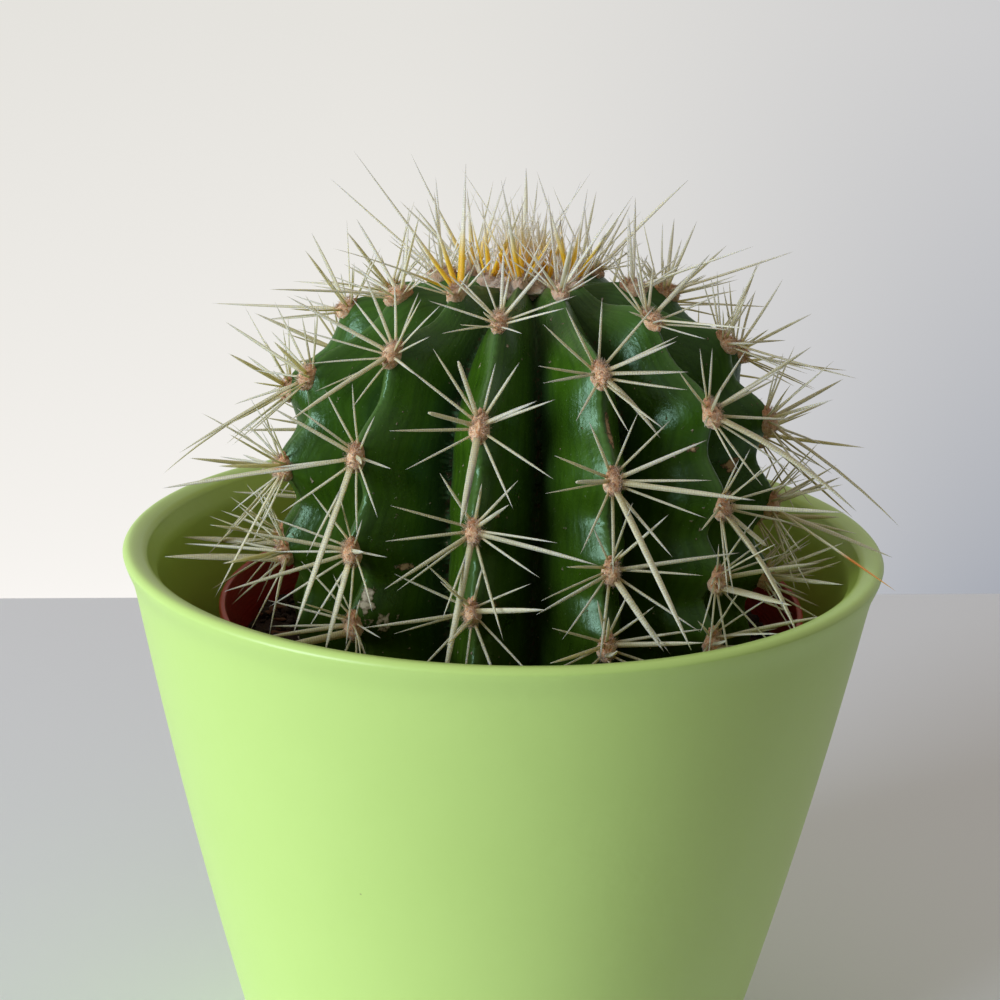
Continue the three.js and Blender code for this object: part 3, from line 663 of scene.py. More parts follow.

# ---- body ---------------------------------------------------------------------------------------
# The stem grows as one ribbed ball. Its skin is a waxy green cuticle, thinner along the crests, with pale
# pores, and corky brown where it has aged or healed. Its colour holds painted light along the crests,
# painted shade towards the furrows and a painted olive glow, bounced from the pot, low down.

BODY_ROWS = 190
ROOT_ROWS = 10
RIB_COLUMNS = 30
CREST_CROWDING = 1.25  # columns crowd towards the crest, where the skin turns sharply
FLANK_SWEEP = 0.004  # how much lower the tubercles' swelling lies on the flanks
SWEPT_FROM = 0.03  # and the distance from the crown at which it does so fully
SHOULDER = 0.0006  # how much fuller the crest is above an areole than below it
WAIST_PLACES = (0.03, 0.07)  # distances from the crown
WAIST = (0.0007, 0.0019)  # how much deeper the crest dips between two areoles at those places
SHAPED_FROM = 0.02  # distance from the crown from which shoulders, waists and ridge are full
RIDGE_HEIGHT = 0.0003
RIDGE_WIDTH = 0.075  # as part of the way from the crest to the furrow
SKIN_WAVES = 0.009
SKIN_WAVE_HEIGHT = 0.00022
HEART_BELOW = 0.02  # under the equator, the point away from which the skin's waves stand out
SKIN_LUMPS = 0.004
SKIN_GRAIN = 0.0007
SKIN_MOTTLE = 0.007
PORES = 0.0013
CORK_GRAIN = 0.0009
LIME_GRAINS = 0.0014
FIBRES = 0.0008
FIBRE_STRETCH = 0.06
SPOT_EDGE = 1.5  # how strongly a scar or crust marks its middle, falling by 1 over its size
# Healed scars: rib, distance from the crown, place across the rib, and size along and across it.
SCARS = [
    (4, 0.052, 0.1, 0.0042, 0.0007),
    (5, 0.057, -0.2, 0.0008, 0.0008),
    (6, 0.0645, -0.38, 0.0018, 0.0013),
    (3, 0.067, 0.3, 0.0006, 0.0005),
    (3, 0.0835, 0.33, 0.0006, 0.0005),
    (2, 0.0805, 0.5, 0.0008, 0.0013),
    (9, 0.047, 0.3, 0.002, 0.001),
    (11, 0.066, -0.4, 0.0012, 0.0016),
]
# Pale crusts of lime low on the plant, given in the same way.
CRUSTS = [
    (2, 0.0865, 0.12, 0.0022, 0.0018),
    (2, 0.0905, 0.32, 0.0018, 0.0014),
    (8, 0.088, -0.2, 0.002, 0.0016),
]

bm = bmesh.new()
columns = RIBS * RIB_COLUMNS
bmesh.ops.create_uvsphere(bm, u_segments=columns, v_segments=BODY_ROWS + ROOT_ROWS, radius=1)
ball = np.array([v.co for v in bm.verts])
row = np.rint(np.arccos(ball[:, 2].clip(-1, 1)) / math.pi * (BODY_ROWS + ROOT_ROWS)).astype(int)
column = np.rint(np.arctan2(ball[:, 1], ball[:, 0]) / (2 * math.pi) * columns).astype(int) % columns
root_part = (row - BODY_ROWS) / ROOT_ROWS
in_root = buried_length + (root_length - buried_length) * root_part
length = np.where(row <= BODY_ROWS, row / BODY_ROWS * buried_length, in_root)
rib_of = column // RIB_COLUMNS
across = column % RIB_COLUMNS / RIB_COLUMNS * 2 - 1
across = np.sign(across) * np.abs(across) ** CREST_CROWDING
points = np.zeros_like(ball)
healed, crusted = np.zeros(len(ball)), np.zeros(len(ball))
for rib in range(RIBS):
    mine = rib_of == rib
    here, sideways = length[mine], across[mine]
    part = np.abs(sideways)
    base, out, _, _ = skin(rib, here, sideways)
    swept = here - FLANK_SWEEP * part * np.clip(here / SWEPT_FROM, 0, 1)
    fuller = tubercle(rib, swept, part) - tubercle(rib, here, part)
    knots = np.array([-AREOLES[rib][0]] + AREOLES[rib] + [2 * AREOLES[rib][-1] - AREOLES[rib][-2]])
    cycle = np.interp(here, knots, np.arange(len(knots)))
    waist = np.interp(here, WAIST_PLACES, WAIST)
    swing = SHOULDER * np.sin(2 * math.pi * cycle) + waist * np.sin(math.pi * cycle) ** 2
    ridge = RIDGE_HEIGHT * np.exp(-((part / RIDGE_WIDTH) ** 2))
    fuller += (ridge - swing * (1 - part ** 1.5)) * np.clip(here / SHAPED_FROM, 0, 1)
    points[mine] = base + out * fuller[:, None]
    for field, spots in ((healed, SCARS), (crusted, CRUSTS)):
        for _, spot_length, spot_across, long, wide in (spot for spot in spots if spot[0] == rib):
            half_width = np.interp(spot_length, crest_along, crest_radius) * math.pi / RIBS
            far = np.hypot((here - spot_length) / long, (sideways - spot_across) * half_width / wide)
            field[mine] = np.maximum(field[mine], SPOT_EDGE - far)
poles = (row == 0) | (row == BODY_ROWS + ROOT_ROWS)
points[poles, :2] = [BODY_X, 0]
waviness = np.array([noise.noise(Vector(p) / SKIN_WAVES) for p in points])
away = points - [BODY_X, 0, equator - HEART_BELOW]
away /= np.linalg.norm(away, axis=1)[:, None]
points += away * (SKIN_WAVE_HEIGHT * waviness * (~poles))[:, None]
for v, point in zip(bm.verts, points):
    v.co = point
bmesh.ops.recalc_face_normals(bm, faces=bm.faces)

# Waxy cuticle: deep green, mottled and finely fibred lengthwise, with pale pores, grit in the furrows,
# corky scars, and a bluish bloom that shows where it shines. Its colour is paler along the crests with
# painted light, nearly black towards the furrows with painted shade, and olive low down with a painted
# glow of light bounced from the green pot.
cuticle, tree, shader = new_material("waxy_green_cuticle", {
    "IOR": 1.45, "Specular IOR Level": 0.75, "Specular Tint": "BCE6CC",
})
place = add(tree, "TexCoord", output="Object")
from_crest, from_crown, around = marked(tree, "growth")
healing, liming, _ = marked(tree, "marks")
patches = add(tree, "TexNoise", {"Vector": place, "Scale": 1 / SKIN_MOTTLE, "Detail": 4})
# painted shade: the colour darkens to nearly black towards the furrows, where shade falls
depth = add(tree, "MapRange", {"Value": from_crest, "From Min": 0.6, "From Max": 1.0},
            interpolation_type="SMOOTHSTEP")
# painted light: a paler band along each crest, which catches the light and glows through its thin skin
ridge = add(tree, "MapRange", {"Value": from_crest, "From Min": 0.2, "From Max": 0.02, "To Max": 0.6},
            interpolation_type="SMOOTHSTEP")
# painted bounce light: low down the skin turns olive with the green light thrown from the glazed pot
low = add(tree, "MapRange", {"Value": from_crown, "From Min": 0.05, "From Max": 0.085, "To Max": 0.5})
young = add(tree, "MapRange", {"Value": from_crown, "From Min": 0.038, "From Max": 0.008, "To Max": 0.5},
            interpolation_type="SMOOTHSTEP")
sideways = add(tree, "Math", {0: around, 1: math.pi * CREST_RADIUS / RIBS}, operation="MULTIPLY")
lengthwise = add(tree, "Math", {0: from_crown, 1: FIBRE_STRETCH}, operation="MULTIPLY")
along_rib = add(tree, "CombineXYZ", {"X": sideways, "Y": lengthwise})
fibres = add(tree, "TexNoise", {"Vector": along_rib, "Scale": 1 / FIBRES, "Detail": 3})
streak = add(tree, "MapRange", {"Value": fibres, "From Min": 0.4, "From Max": 0.7, "To Max": 0.45})
reach, cells = add(tree, "TexVoronoi", {"Vector": place, "Scale": 1 / PORES}, slice(2))
chance = add(tree, "SeparateColor", {"Color": cells}, "Red")
dot = add(tree, "MapRange", {"Value": reach, "From Min": 0.12, "From Max": 0.05, "To Max": 0.4})
pore = add(tree, "Math", {0: dot, 1: chance}, operation="MULTIPLY")
cork = add(tree, "TexNoise", {"Vector": place, "Scale": 1 / CORK_GRAIN, "Detail": 5, "Roughness": 0.65})
grit = add(tree, "Math", {0: from_crest, 1: cork}, operation="ADD")
gritty = add(tree, "MapRange", {"Value": grit, "From Min": 1.48, "From Max": 1.6, "To Max": 0.8})
old = add(tree, "MapRange", {"Value": from_crown, "From Min": 0.092, "From Max": 0.11, "To Max": 0.35})
aged = add(tree, "Math", {0: healing, 1: old}, operation="ADD")
ragged = add(tree, "Math", {0: cork, 1: 2.2}, operation="MULTIPLY")
aged = add(tree, "Math", {0: aged, 1: ragged}, operation="ADD")
corky = add(tree, "MapRange", {"Value": aged, "From Min": 1.6, "From Max": 1.75},
            interpolation_type="SMOOTHSTEP")
middle = add(tree, "MapRange", {"Value": aged, "From Min": 1.7, "From Max": 2.1})
bark = add(tree, "Mix", {0: middle, 6: "5A3E28", 7: "C4A37C"}, 2, data_type="RGBA")
grains = add(tree, "TexNoise", {"Vector": place, "Scale": 1 / LIME_GRAINS, "Detail": 3})
clustered = add(tree, "Math", {0: grains, 1: 4.0}, operation="MULTIPLY")
limed = add(tree, "Math", {0: liming, 1: clustered}, operation="ADD")
crust = add(tree, "MapRange", {"Value": limed, "From Min": 2.75, "From Max": 3.0},
            interpolation_type="SMOOTHSTEP")
thick = add(tree, "MapRange", {"Value": limed, "From Min": 2.8, "From Max": 3.5})
chalk = add(tree, "Mix", {0: thick, 6: "6E5A3E", 7: "E2D8C0"}, 2, data_type="RGBA")
colour = add(tree, "Mix", {0: patches, 6: "254506", 7: "446B10"}, 2, data_type="RGBA")
for share, coat in (
    (depth, "142E08"), (ridge, "55773A"), (low, "30420F"), (young, "55743C"), (streak, "132A07"),
    (pore, "9AB088"), (gritty, "4A2818"), (corky, bark), (crust, chalk),
):
    colour = add(tree, "Mix", {0: share, 6: colour, 7: coat}, 2, data_type="RGBA")
scabs = add(tree, "Math", {0: corky, 1: crust}, operation="MAXIMUM")
gloss = add(tree, "MapRange", {
    "Value": patches, "From Min": 0.3, "From Max": 0.7, "To Min": 0.24, "To Max": 0.36,
})
dull = add(tree, "MapRange", {"Value": depth, "To Max": 0.5})
rough = add(tree, "Math", {0: gloss, 1: dull}, operation="ADD")
rougher = add(tree, "MapRange", {"Value": scabs, "To Max": 0.5})
roughness = add(tree, "Math", {0: rough, 1: rougher}, operation="ADD", use_clamp=True)
grain = add(tree, "TexNoise", {"Vector": place, "Scale": 1 / SKIN_GRAIN, "Detail": 3})
lumps = add(tree, "TexNoise", {"Vector": place, "Scale": 1 / SKIN_LUMPS, "Detail": 2})
relief = add(tree, "Bump", {"Height": lumps, "Strength": 0.4, "Distance": 0.0003})
for height, strength, high in ((fibres, 0.55, 0.00012), (grain, 0.6, 0.00012), (scabs, 0.7, 0.0003)):
    relief = add(tree, "Bump", {"Height": height, "Strength": strength, "Distance": high, "Normal": relief})
connect(shader, {"Base Color": colour, "Roughness": roughness, "Normal": relief})

body = new_piece("ribbed_body", bm, cuticle)
mark(body, "growth", np.stack([np.abs(across), length, rib_of * 2 + across], -1))
mark(body, "marks", np.stack([healed, crusted], -1).clip(0))
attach(body, "root")
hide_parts("cactus")

# ---- areoles ------------------------------------------------------------------------------------
# Oval cushions of felt that sit on the crests, peach to tan with a rust-brown older tuft in their
# upper half. Loose hairs stand out round their edges and between the roots of the spines.

FELT_WIDTH = 0.0032  # over its full width, and so on
FELT_LENGTH = 0.0055
FELT_HEIGHT = 0.0019
FELT_SINK = 0.0002
FELT_NECK = 0.14  # how much the pad narrows between the older tuft and the young lobe under it
FELT_TOP_NARROWS = 0.2  # and towards its upper end
FELT_LUMPS = ((0.14, 1.9), (0.08, 4.5))  # height of each set of lumps, and how many across
FELT_TANGLE = 0.0006
HAIRS = 205  # on each areole
HAIR_WIDTH = 0.0001
HAIR_LENGTH = (0.0004, 0.001)
HAIR_SPREAD = 0.6
HAIR_CURL = 0.6
YOUNG_WITHIN = 0.026
YOUNG_FADE = 0.018


def near_crown(length, within=YOUNG_WITHIN, fade=YOUNG_FADE):
    """1 next to the crown, falling to 0 over the last part of the given distance from it."""
    return min(1, max(0, (within - length) / fade))


areole_places = [
    (rib, number, length, skin(rib, length, 0))
    for rib in range(RIBS) for number, length in enumerate(AREOLES[rib])
]

bm = bmesh.new()
bmesh.ops.create_icosphere(bm, subdivisions=4, radius=1)
felt_template, felt_points = template_of(bm)
shapes, tufts = [], []
for rib, number, length, base in areole_places:
    seed = Vector((rib * 3.7, number * 5.3, 1.9))
    lumps = [
        sum(high * noise.noise(seed + Vector(p) * many) for high, many in FELT_LUMPS) for p in felt_points
    ]
    size = np.array([FELT_WIDTH / 2, FELT_LENGTH / 2, FELT_HEIGHT]) * (1.02 + 0.08 * draw(rib, number, 0, 30))
    up = felt_points[:, 1]
    wide = 1 - FELT_TOP_NARROWS * np.clip(up, 0, 1) - FELT_NECK * np.exp(-((up / 0.3 - 0.8) ** 2))
    lobes = felt_points * np.stack([wide, np.ones_like(wide), wide], -1)
    shapes.append(placed(lobes * (1 + np.array(lumps))[:, None] * size - [0, 0, FELT_SINK], base))
    tufts.append(np.stack([up, np.full(len(up), near_crown(length))], -1))

# Plant felt: short tangled hairs, matte, rusty in the older tuft, with painted light on the raised
# tangle and painted shade in its hollows.
felt, tree, shader = new_material("areole_felt", {
    "Roughness": 0.95, "Sheen Weight": 0.5, "Subsurface Weight": 0.5, "Subsurface Radius": (1, 0.75, 0.45),
    "Subsurface Scale": 0.0008,
})
place = add(tree, "TexCoord", output="Object")
upper, new, _ = marked(tree, "tuft")
tangle = add(tree, "TexNoise", {
    "Vector": place, "Scale": 1 / FELT_TANGLE, "Detail": 3, "Roughness": 0.7, "Distortion": 1.5,
})
# painted light and shade: the colour follows the tangle's bumps, lighter where raised, darker in hollows
tangle_light_and_shade = add(tree, "MapRange", {"Value": tangle, "From Min": 0.35, "From Max": 0.65})
peach = add(tree, "Mix", {0: tangle_light_and_shade, 6: "CF8A52", 7: "FFE2BA"}, 2, data_type="RGBA")
rust = add(tree, "Mix", {0: tangle_light_and_shade, 6: "94562E", 7: "E8AE78"}, 2, data_type="RGBA")
peach = add(tree, "Mix", {0: new, 6: peach, 7: "D2B69E"}, 2, data_type="RGBA")
patchy = add(tree, "Math", {0: upper, 1: tangle}, operation="ADD")
older = add(tree, "MapRange", {"Value": patchy, "From Min": 0.65, "From Max": 1.25, "To Max": 0.85},
            interpolation_type="SMOOTHSTEP")
colour = add(tree, "Mix", {0: older, 6: peach, 7: rust}, 2, data_type="RGBA")
relief = add(tree, "Bump", {"Height": tangle, "Strength": 1.0, "Distance": 0.0003})
connect(shader, {"Base Color": colour, "Normal": relief})

felt_pads = copies("areole_felt_pads", felt_template, shapes, felt, tuft=tufts)
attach(felt_pads, "root")

bm = bmesh.new()
bmesh.ops.create_cone(bm, cap_ends=True, segments=3, radius1=0.5, radius2=0.1, depth=1)
bmesh.ops.translate(bm, vec=(0, 0, 0.5), verts=bm.verts)
whole = bm.verts[:] + bm.edges[:] + bm.faces[:]
bmesh.ops.bisect_plane(bm, geom=whole, plane_co=(0, 0, 0.55), plane_no=(0, 0, 1))
hair_template, hair_points = template_of(bm)


def hair(start, heading, length, width, curl):
    """Points of one hair that leaves its start along a heading and curls to one side."""
    side = heading.orthogonal().normalized()
    axes = np.array([side, heading.cross(side), heading])
    bend = np.zeros_like(hair_points)
    bend[:, 0] = curl * length * hair_points[:, 2] ** 2
    return np.array(start) + (hair_points * [width, width, length] + bend) @ axes


shapes, tufts = [], []
chance = random.Random(11)
for rib, number, length, base in areole_places:
    for _ in range(HAIRS):
        turn = chance.uniform(0, 2 * math.pi)
        rim = math.sqrt(chance.uniform(0.1, 1))
        spread = np.array([math.sin(turn) * rim, math.cos(turn) * rim, math.sqrt(1 - rim * rim)])
        start = placed(spread * [FELT_WIDTH / 2.1, FELT_LENGTH / 2.1, FELT_HEIGHT * 0.9], base)
        leaning = spread * [1, 1, 0.6] + [chance.gauss(0, HAIR_SPREAD), chance.gauss(0, HAIR_SPREAD), 0]
        heading = Vector(placed(leaning, base) - base[0]).normalized()
        long = chance.uniform(*HAIR_LENGTH)
        shapes.append(hair(start, heading, long, HAIR_WIDTH, chance.uniform(-HAIR_CURL, HAIR_CURL)))
        tufts.append(np.tile([spread[1] - 0.5, near_crown(length)], (len(hair_points), 1)))
felt_hairs = copies("areole_hairs", hair_template, shapes, felt, tuft=tufts)
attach(felt_hairs, "root")

# ---- spines -------------------------------------------------------------------------------------
# Each areole bears a ring of thin radial spines and four stouter, flattened centrals. They are hard
# plant fibre, straw to cream with fine growth bands, stained tan by the felt at their roots.

RADIAL_RING = 10
FIRST_CLOCK = 8  # clock angle of the first radial, in degrees
RADIAL_WIDTH = 0.00052
RADIAL_THICKNESS = 0.7  # of the width
RADIAL_LIFT = 28
RADIAL_LENGTH = 0.013
RADIAL_DOWNWARD = 0.0023  # how much longer the ones are that point down
RADIAL_SIDEWAYS = 0.0015  # and the ones that point to a side
RADIAL_SPREAD = {"clock": 10, "lift": 7, "length": 0.002, "width": 0.2, "bend": 0.07}
CENTRAL_WIDTHS = (0.00078, 0.00088, 0.00078, 0.00125)
CENTRAL_THICKNESS = 0.4
CENTRAL_SPREAD = {"clock": 12, "lift": 8, "length": 0.003, "width": 0.15, "bend": 0.09}
# Clock angle from the crown, clockwise as seen from outside, lift off the skin, and length.
CENTRALS = [(-24, 58, 0.015), (76, 42, 0.019), (-84, 42, 0.019), (186, 34, 0.024)]
# Centrals that stand out in the photograph, by rib and areole and then by their number there: clock
# angle, lift, length and bend.
NOTED_SPINES = {
    (0, 2): {3: (170, 46, 0.029, -0.15)},
    (1, 0): {0: (5, 68, 0.017, 0), 3: (188, 66, 0.017, 0)},
    (1, 3): {2: (-120, 58, 0.023, 0), 3: (165, 30, 0.026, 0)},
    (2, 0): {0: (-91, 52, 0.031, 0), 1: (-14, 66, 0.022, 0), 2: (-62, 60, 0.017, 0)},
    (2, 2): {0: (-60, 42, 0.016, 0), 2: (-115, 45, 0.017, 0), 3: (178, 18, 0.031, 0)},
    (2, 3): {0: (-75, 42, 0.018, 0), 2: (-113, 50, 0.022, 0), 3: (172, 30, 0.017, 0)},
    (3, 1): {0: (8, 72, 0.012, 0), 1: (60, 45, 0.0125, 0), 2: (-74, 38, 0.011, 0), 3: (200, 50, 0.006, 0)},
    (3, 2): {
        0: (-20, 40, 0.011, 0), 1: (70, 25, 0.011, 0), 2: (-87, 42, 0.009, 0), 3: (180, 20, 0.018, 0.03),
    },
    (3, 3): {
        0: (48, 30, 0.01, 0), 1: (96, 12, 0.022, 0.03), 2: (-122, 34, 0.017, 0), 3: (187, 18, 0.027, -0.03),
    },
    (4, 1): {
        0: (85, 33, 0.013, 0), 1: (108, 25, 0.014, 0), 2: (-103, 8, 0.011, 0), 3: (152, 17, 0.014, -0.25),
    },
    (4, 2): {
        0: (65, 25, 0.016, 0), 1: (99, 35, 0.023, 0), 2: (-86, 24, 0.008, 0), 3: (172, 24, 0.031, -0.04),
    },
    (4, 3): {1: (80, 14, 0.021, 0.03), 2: (-110, 12, 0.015, 0), 3: (150, 34, 0.015, 0)},
    (5, 2): {0: (68, 50, 0.014, 0), 3: (155, 44, 0.028, -0.25)},
    (5, 3): {1: (92, 54, 0.02, 0), 2: (150, 45, 0.009, 0), 3: (-178, 40, 0.025, -0.25)},
    (6, 2): {3: (174, 46, 0.03, -0.15)},
    (6, 3): {2: (-118, 55, 0.03, -0.02)},
}
BLUNT_SPINES = {(3, 2, 0), (3, 2, 2), (4, 2, 2), (5, 3, 2)}  # by rib, areole and number
RUSTY_SPINE = (6, 3, 2)
RADIAL_START = (0.0013, 0.0022, 0.0003)  # half sizes of the oval by which they leave the felt
CENTRAL_START = (0.0008, 0.0013, 0.0008)
SPINE_CLEARANCE = 0.0008  # kept from the pots and the soil
CHECKED_PLACES = 12  # along a spine, to see whether it is clear
BEND_STEP = 0.09  # how far each try turns a spine up that isn't
BEND_TRIES = 10  # before it also gets shorter
SHORTENING = 0.93
ALL_TRIES = 24  # before it is left out
YOUNG_RADIAL_LIFT = 30  # how much more upright the spines next to the crown stand
YOUNG_CENTRAL_LIFT = 22
YOUNG_THINNER = 0.25
FULL_WIDTH_AT = 0.06
PALE_WITHIN = 0.044
PALE_FADE = 0.026
PALE_SHORTER = 0.3
GOLDEN_WITHIN = 0.016
GOLDEN_FADE = 0.004
LATE_GOLDEN = {(2, 0)}  # rib and areole that keeps its golden centrals further out
GOLDEN_WIDTH = 0.0014
SPINE_SIDES = 6
SPINE_ROOT_DEPTH = 0.0008
# Widths at these parts of the way from root to tip: nearly even, then drawn out to a needle point, or
# blunt, or tapering all the way as on the youngest.
TAPER_PARTS = (0, 0.08, 0.3, 0.5, 0.7, 0.85, 0.94, 1)
SPINE_TAPER = (0.9, 1, 1, 0.95, 0.8, 0.52, 0.26, 0.03)
BLUNT_TAPER = (0.9, 1, 1, 1, 0.98, 0.93, 0.8, 0.35)
GOLDEN_TAPER = (1, 0.98, 0.82, 0.6, 0.4, 0.24, 0.12, 0.03)
GROWTH_BANDS = 0.00044

bm = bmesh.new()
bmesh.ops.create_cone(bm, cap_ends=True, segments=SPINE_SIDES, radius1=0.5, radius2=0.5, depth=1)
bmesh.ops.translate(bm, vec=(0, 0, 0.5), verts=bm.verts)
for part in TAPER_PARTS[1:-1]:
    whole = bm.verts[:] + bm.edges[:] + bm.faces[:]
    bmesh.ops.bisect_plane(bm, geom=whole, plane_co=(0, 0, part), plane_no=(0, 0, 1))
spine_template, spine_points = template_of(bm)


def is_clear(point):
    """Whether a point keeps clear of both pots and of the soil."""
    inner_wall = cover_wall(point.z) - COVER_WALL
    if point.z < cover_high.z + SPINE_CLEARANCE and point.xy.length > inner_wall - SPINE_CLEARANCE:
        return False
    if point.z > nursery_rim + SPINE_CLEARANCE:
        return True
    if math.hypot(point.x - nursery_centre, point.y) > nursery_inside(point.z) - SPINE_CLEARANCE:
        return False
    return point.z > soil_level + SOIL_UNEVEN + SPINE_CLEARANCE


def bent_clear(root, heading, length):
    """A spine's heading turned up in small steps, and then its length cut, until it is clear."""
    for attempt in range(ALL_TRIES):
        reaches = [length * (i + 1) / CHECKED_PLACES for i in range(CHECKED_PLACES)]
        if all(is_clear(root + heading * reach) for reach in reaches):
            return heading, length
        heading = (heading + Vector((0, 0, BEND_STEP))).normalized()
        if attempt > BEND_TRIES:
            length *= SHORTENING
    return None


def spine(base, aim, size, start, taper, look):
    """Points of one spine, with what its material reads about the place on it and about the spine.

    The aim is clock angle, lift and bend, the size is length, width and thickness as a part of the
    width, and the look is tone, gold and paleness, which is -1 for the rusty spine.
    """
    point, out, crownward, side = (Vector(v) for v in base)
    turn, raised = math.radians(aim[0]), math.radians(aim[1])
    length, width, thickness = size
    heading = crownward * (math.cos(turn) * math.cos(raised)) + side * (math.sin(turn) * math.cos(raised))
    heading = heading + out * math.sin(raised)
    root = point + side * (start[0] * math.sin(turn)) + crownward * (start[1] * math.cos(turn))
    root += out * start[2]
    clear = bent_clear(root, heading, length)
    if clear is None:
        return None
    heading, length = clear
    broad = out.cross(heading)
    broad = broad.normalized() if broad.length > 0.2 else heading.orthogonal().normalized()
    axes = np.array([broad, heading.cross(broad), heading])
    part = spine_points[:, 2]
    widths = np.interp(part, TAPER_PARTS, taper)
    distance = part * (length + SPINE_ROOT_DEPTH) - SPINE_ROOT_DEPTH
    bend = spine_points[:, 1] * widths * width * thickness + aim[2] * length * part ** 2
    local = np.stack([spine_points[:, 0] * widths * width, bend, distance], -1)
    return np.array(root) + local @ axes, np.stack([part, distance], -1), np.tile(look, (len(part), 1))


grown = []
for rib, number, length, base in areole_places:
    young, pale = near_crown(length), near_crown(length, PALE_WITHIN, PALE_FADE)
    gold = 1 if (rib, number) in LATE_GOLDEN else near_crown(length, GOLDEN_WITHIN, GOLDEN_FADE)
    for i in range(RADIAL_RING):
        own = partial(draw, rib, number, i)
        clock = FIRST_CLOCK + i * 360 / RADIAL_RING + RADIAL_SPREAD["clock"] * own(1)
        turn = math.radians(clock)
        reach = RADIAL_LENGTH + RADIAL_SIDEWAYS * abs(math.sin(turn)) - RADIAL_DOWNWARD * math.cos(turn)
        reach = (reach + RADIAL_SPREAD["length"] * own(2)) * (1 - PALE_SHORTER * pale)
        lift = RADIAL_LIFT + RADIAL_SPREAD["lift"] * own(3) + YOUNG_RADIAL_LIFT * young
        width = RADIAL_WIDTH * (1 + RADIAL_SPREAD["width"] * own(7)) * (1 - YOUNG_THINNER * young)
        aim, size = (clock, lift, RADIAL_SPREAD["bend"] * own(8)), (reach, width, RADIAL_THICKNESS)
        grown.append(spine(base, aim, size, RADIAL_START, SPINE_TAPER, (own(9), 0, pale)))
    noted = NOTED_SPINES.get((rib, number), {})
    for i, (clock, lift, reach) in enumerate(CENTRALS):
        own = partial(draw, rib, number, i)
        if i in noted:
            clock, lift, reach, bend = noted[i]
        else:
            clock += CENTRAL_SPREAD["clock"] * own(4)
            lift += CENTRAL_SPREAD["lift"] * own(5) + YOUNG_CENTRAL_LIFT * young
            reach += CENTRAL_SPREAD["length"] * own(6)
            bend = CENTRAL_SPREAD["bend"] * own(11)
        width = CENTRAL_WIDTHS[i] * (0.85 + 0.2 * length / FULL_WIDTH_AT)
        taper = BLUNT_TAPER if (rib, number, i) in BLUNT_SPINES else SPINE_TAPER
        if gold > 0.5:
            width, taper = GOLDEN_WIDTH, GOLDEN_TAPER
        size = (reach, width * (1 + CENTRAL_SPREAD["width"] * own(10)), CENTRAL_THICKNESS)
        look = (own(13), gold, -1 if (rib, number, i) == RUSTY_SPINE else pale)
        grown.append(spine(base, (clock, lift, bend), size, CENTRAL_START, taper, look))

# Spine fibre: dull and slightly translucent, tan at the root, cream along most of the way, with bands
# across it and a tone of its own for each spine. On the youngest areoles it starts golden yellow. Near
# the crown the spines turn almost white, their own paler colour with painted glow of light shining
# through them.
fibre, tree, shader = new_material("straw_spine_fibre", {
    "Roughness": 0.5, "IOR": 1.5, "Subsurface Weight": 0.85, "Subsurface Radius": (1, 0.9, 0.6),
    "Subsurface Scale": 0.0016,
})
part, distance, _ = marked(tree, "spine")
tone, gold, age = marked(tree, "look")
rust = add(tree, "MapRange", {"Value": age, "From Max": -1.0})
ripe = add(tree, "MapRange", {"Value": part, "From Min": 0.1, "From Max": 0.45})
# near-white near the crown: the young spines' own paler colour and painted glow of light through them
new = add(tree, "Math", {0: age, 1: 0.9}, operation="MULTIPLY", use_clamp=True)
in_felt = add(tree, "MapRange", {"Value": distance, "From Min": 0.002, "From Max": 0.0})
tip = add(tree, "MapRange", {"Value": part, "From Min": 0.88, "From Max": 1.0, "To Max": 0.4})
weathered = add(tree, "MapRange", {"Value": tone, "From Min": -1.0, "From Max": 1.0, "To Max": 0.45})
fresh = add(tree, "Math", {0: 1.0, 1: age}, operation="SUBTRACT", use_clamp=True)
weathered = add(tree, "Math", {0: weathered, 1: fresh}, operation="MULTIPLY")
turns = add(tree, "Math", {0: distance, 1: 2 * math.pi / GROWTH_BANDS}, operation="MULTIPLY")
bands = add(tree, "Math", {0: turns}, operation="SINE")
groove = add(tree, "MapRange", {"Value": bands, "From Min": -0.2, "From Max": 1.0, "To Max": 0.2})
still_growing = add(tree, "MapRange", {"Value": distance, "From Min": 0.0105, "From Max": 0.005})
golden = add(tree, "Math", {0: still_growing, 1: gold}, operation="MULTIPLY")
outer_half = add(tree, "MapRange", {"Value": part, "From Min": 0.55, "From Max": 0.65})
rusty = add(tree, "Math", {0: outer_half, 1: rust}, operation="MULTIPLY")
colour = add(tree, "Mix", {0: ripe, 6: "CDC49C", 7: "DAD5B6"}, 2, data_type="RGBA")
for share, coat in (
    (new, "FAF0CE"), (in_felt, "C4A070"), (tip, "B8A582"), (weathered, "8E8A66"), (groove, "857B58"),
    (golden, "FFB92A"), (rusty, "C46E2A"),
):
    colour = add(tree, "Mix", {0: share, 6: colour, 7: coat}, 2, data_type="RGBA")
relief = add(tree, "Bump", {"Height": bands, "Strength": 0.3, "Distance": 0.00006})
connect(shader, {"Base Color": colour, "Normal": relief})


def bunch(name, grown):
    """One piece of all spines that found a clear place."""
    points, reads, looks = zip(*(made for made in grown if made is not None))
    piece = copies(name, spine_template, points, fibre, spine=reads, look=looks)
    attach(piece, "root")


bunch("spines", grown)

# ---- crown --------------------------------------------------------------------------------------
# The growing point in the middle of the top is a patch of grey-tan wool, out of which the youngest
# spines stand almost upright. They are golden yellow and stout at the foot and fade to cream.

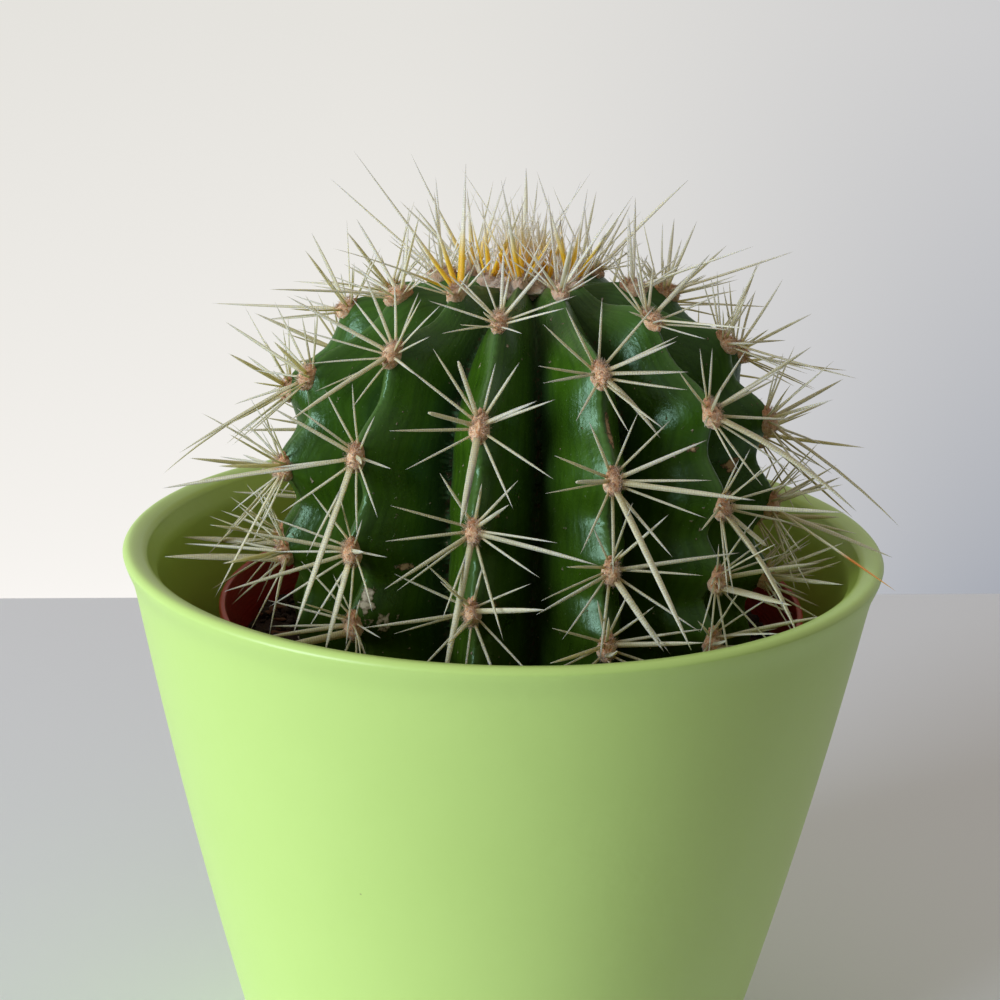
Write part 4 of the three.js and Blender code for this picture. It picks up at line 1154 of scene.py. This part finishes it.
CROWN_WOOL_RADIUS = 0.0095
CROWN_WOOL_HEIGHT = 0.003
CROWN_WOOL_SINK = 0.0012
WOOL_LUMPS = ((0.16, 3.1), (0.1, 9))
CROWN_HAIRS = 3400
CROWN_HAIR_SINK = 0.0014
CROWN_HAIR_LENGTH = (0.0008, 0.0022)
CROWN_HAIR_SPREAD = 0.5
CROWN_HAIR_CURL = 0.8
CROWN_TUFTS_FROM = 0.0025  # distances from the crown's middle
CROWN_TUFTS_TO = 0.0075
CROWN_AREOLE = 20  # the number that the tufts have for their draws, past all areoles
CROWN_SPINES = 8  # in each of the tufts, one on each rib
GOLDEN_SPINES = 3  # of those, and these come first
GOLDEN_KIND = (76, 0.013, GOLDEN_WIDTH, GOLDEN_TAPER)  # lift, length, width and taper
PALE_KIND = (66, 0.0135, 0.00032, SPINE_TAPER)
CROWN_TURN = 0.382  # of a full turn from one spine of a tuft to the next
CROWN_SPREAD = {"clock": 25, "lift": 9, "length": 0.0035, "width": 0.2, "bend": 0.05}
CROWN_START = (0.0012, 0.0012, 0.0004)
CROWN_THICKNESS = 0.55

crown_top = float(np.interp(CROWN_WOOL_RADIUS, crest_along, crest_height))
bm = bmesh.new()
bmesh.ops.create_icosphere(bm, subdivisions=5, radius=1)
for v in bm.verts:
    v.co *= 1 + sum(high * noise.noise(v.co * many) for high, many in WOOL_LUMPS)
bmesh.ops.scale(bm, vec=(CROWN_WOOL_RADIUS, CROWN_WOOL_RADIUS, CROWN_WOOL_HEIGHT), verts=bm.verts)
bmesh.ops.translate(bm, vec=(BODY_X, 0, crown_top - CROWN_WOOL_SINK), verts=bm.verts)

# Young wool: the same felt as on the areoles, but greyer and denser.
wool, tree, shader = new_material("crown_wool", {
    "Roughness": 0.95, "Sheen Weight": 0.4, "Subsurface Weight": 0.5, "Subsurface Radius": (1, 0.8, 0.55),
    "Subsurface Scale": 0.001,
})
place = add(tree, "TexCoord", output="Object")
tangle = add(tree, "TexNoise", {
    "Vector": place, "Scale": 1 / FELT_TANGLE, "Detail": 4, "Roughness": 0.7, "Distortion": 1.2,
})
colour = add(tree, "Mix", {0: tangle, 6: "CFAC8C", 7: "FFF2E0"}, 2, data_type="RGBA")
relief = add(tree, "Bump", {"Height": tangle, "Strength": 1.0, "Distance": 0.0003})
connect(shader, {"Base Color": colour, "Normal": relief})

wool_cushion = new_piece("crown_wool_cushion", bm, wool)
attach(wool_cushion, "root")

shapes = []
chance = random.Random(5)
for _ in range(CROWN_HAIRS):
    turn = chance.uniform(0, 2 * math.pi)
    flare = math.sqrt(chance.random())
    x, y = flare * math.cos(turn), flare * math.sin(turn)
    foot = crown_top - CROWN_HAIR_SINK + CROWN_WOOL_HEIGHT * math.sqrt(1 - flare ** 2)
    start = (BODY_X + CROWN_WOOL_RADIUS * x, CROWN_WOOL_RADIUS * y, foot)
    leaning = (x + chance.gauss(0, CROWN_HAIR_SPREAD), y + chance.gauss(0, CROWN_HAIR_SPREAD), 0.8)
    long = chance.uniform(*CROWN_HAIR_LENGTH)
    curl = chance.uniform(-CROWN_HAIR_CURL, CROWN_HAIR_CURL)
    shapes.append(hair(start, Vector(leaning).normalized(), long, HAIR_WIDTH, curl))
wool_hairs = copies("crown_wool_hairs", hair_template, shapes, wool)
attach(wool_hairs, "root")

grown = []
for tuft in range(RIBS):
    length = CROWN_TUFTS_FROM + (CROWN_TUFTS_TO - CROWN_TUFTS_FROM) * (tuft * SPIRAL_STEP % 1)
    base = skin(tuft, length, 0)
    for i in range(CROWN_SPINES):
        own = partial(draw, tuft, CROWN_AREOLE, i)
        lift, reach, width, taper = GOLDEN_KIND if i < GOLDEN_SPINES else PALE_KIND
        clock = i * 360 * CROWN_TURN + CROWN_SPREAD["clock"] * own(1)
        aim = (clock, lift + CROWN_SPREAD["lift"] * own(2), CROWN_SPREAD["bend"] * own(5))
        reach += CROWN_SPREAD["length"] * own(3)
        size = (reach, width * (1 + CROWN_SPREAD["width"] * own(4)), CROWN_THICKNESS)
        grown.append(spine(base, aim, size, CROWN_START, taper, (own(6), i < GOLDEN_SPINES, 1)))
bunch("crown_spines", grown)
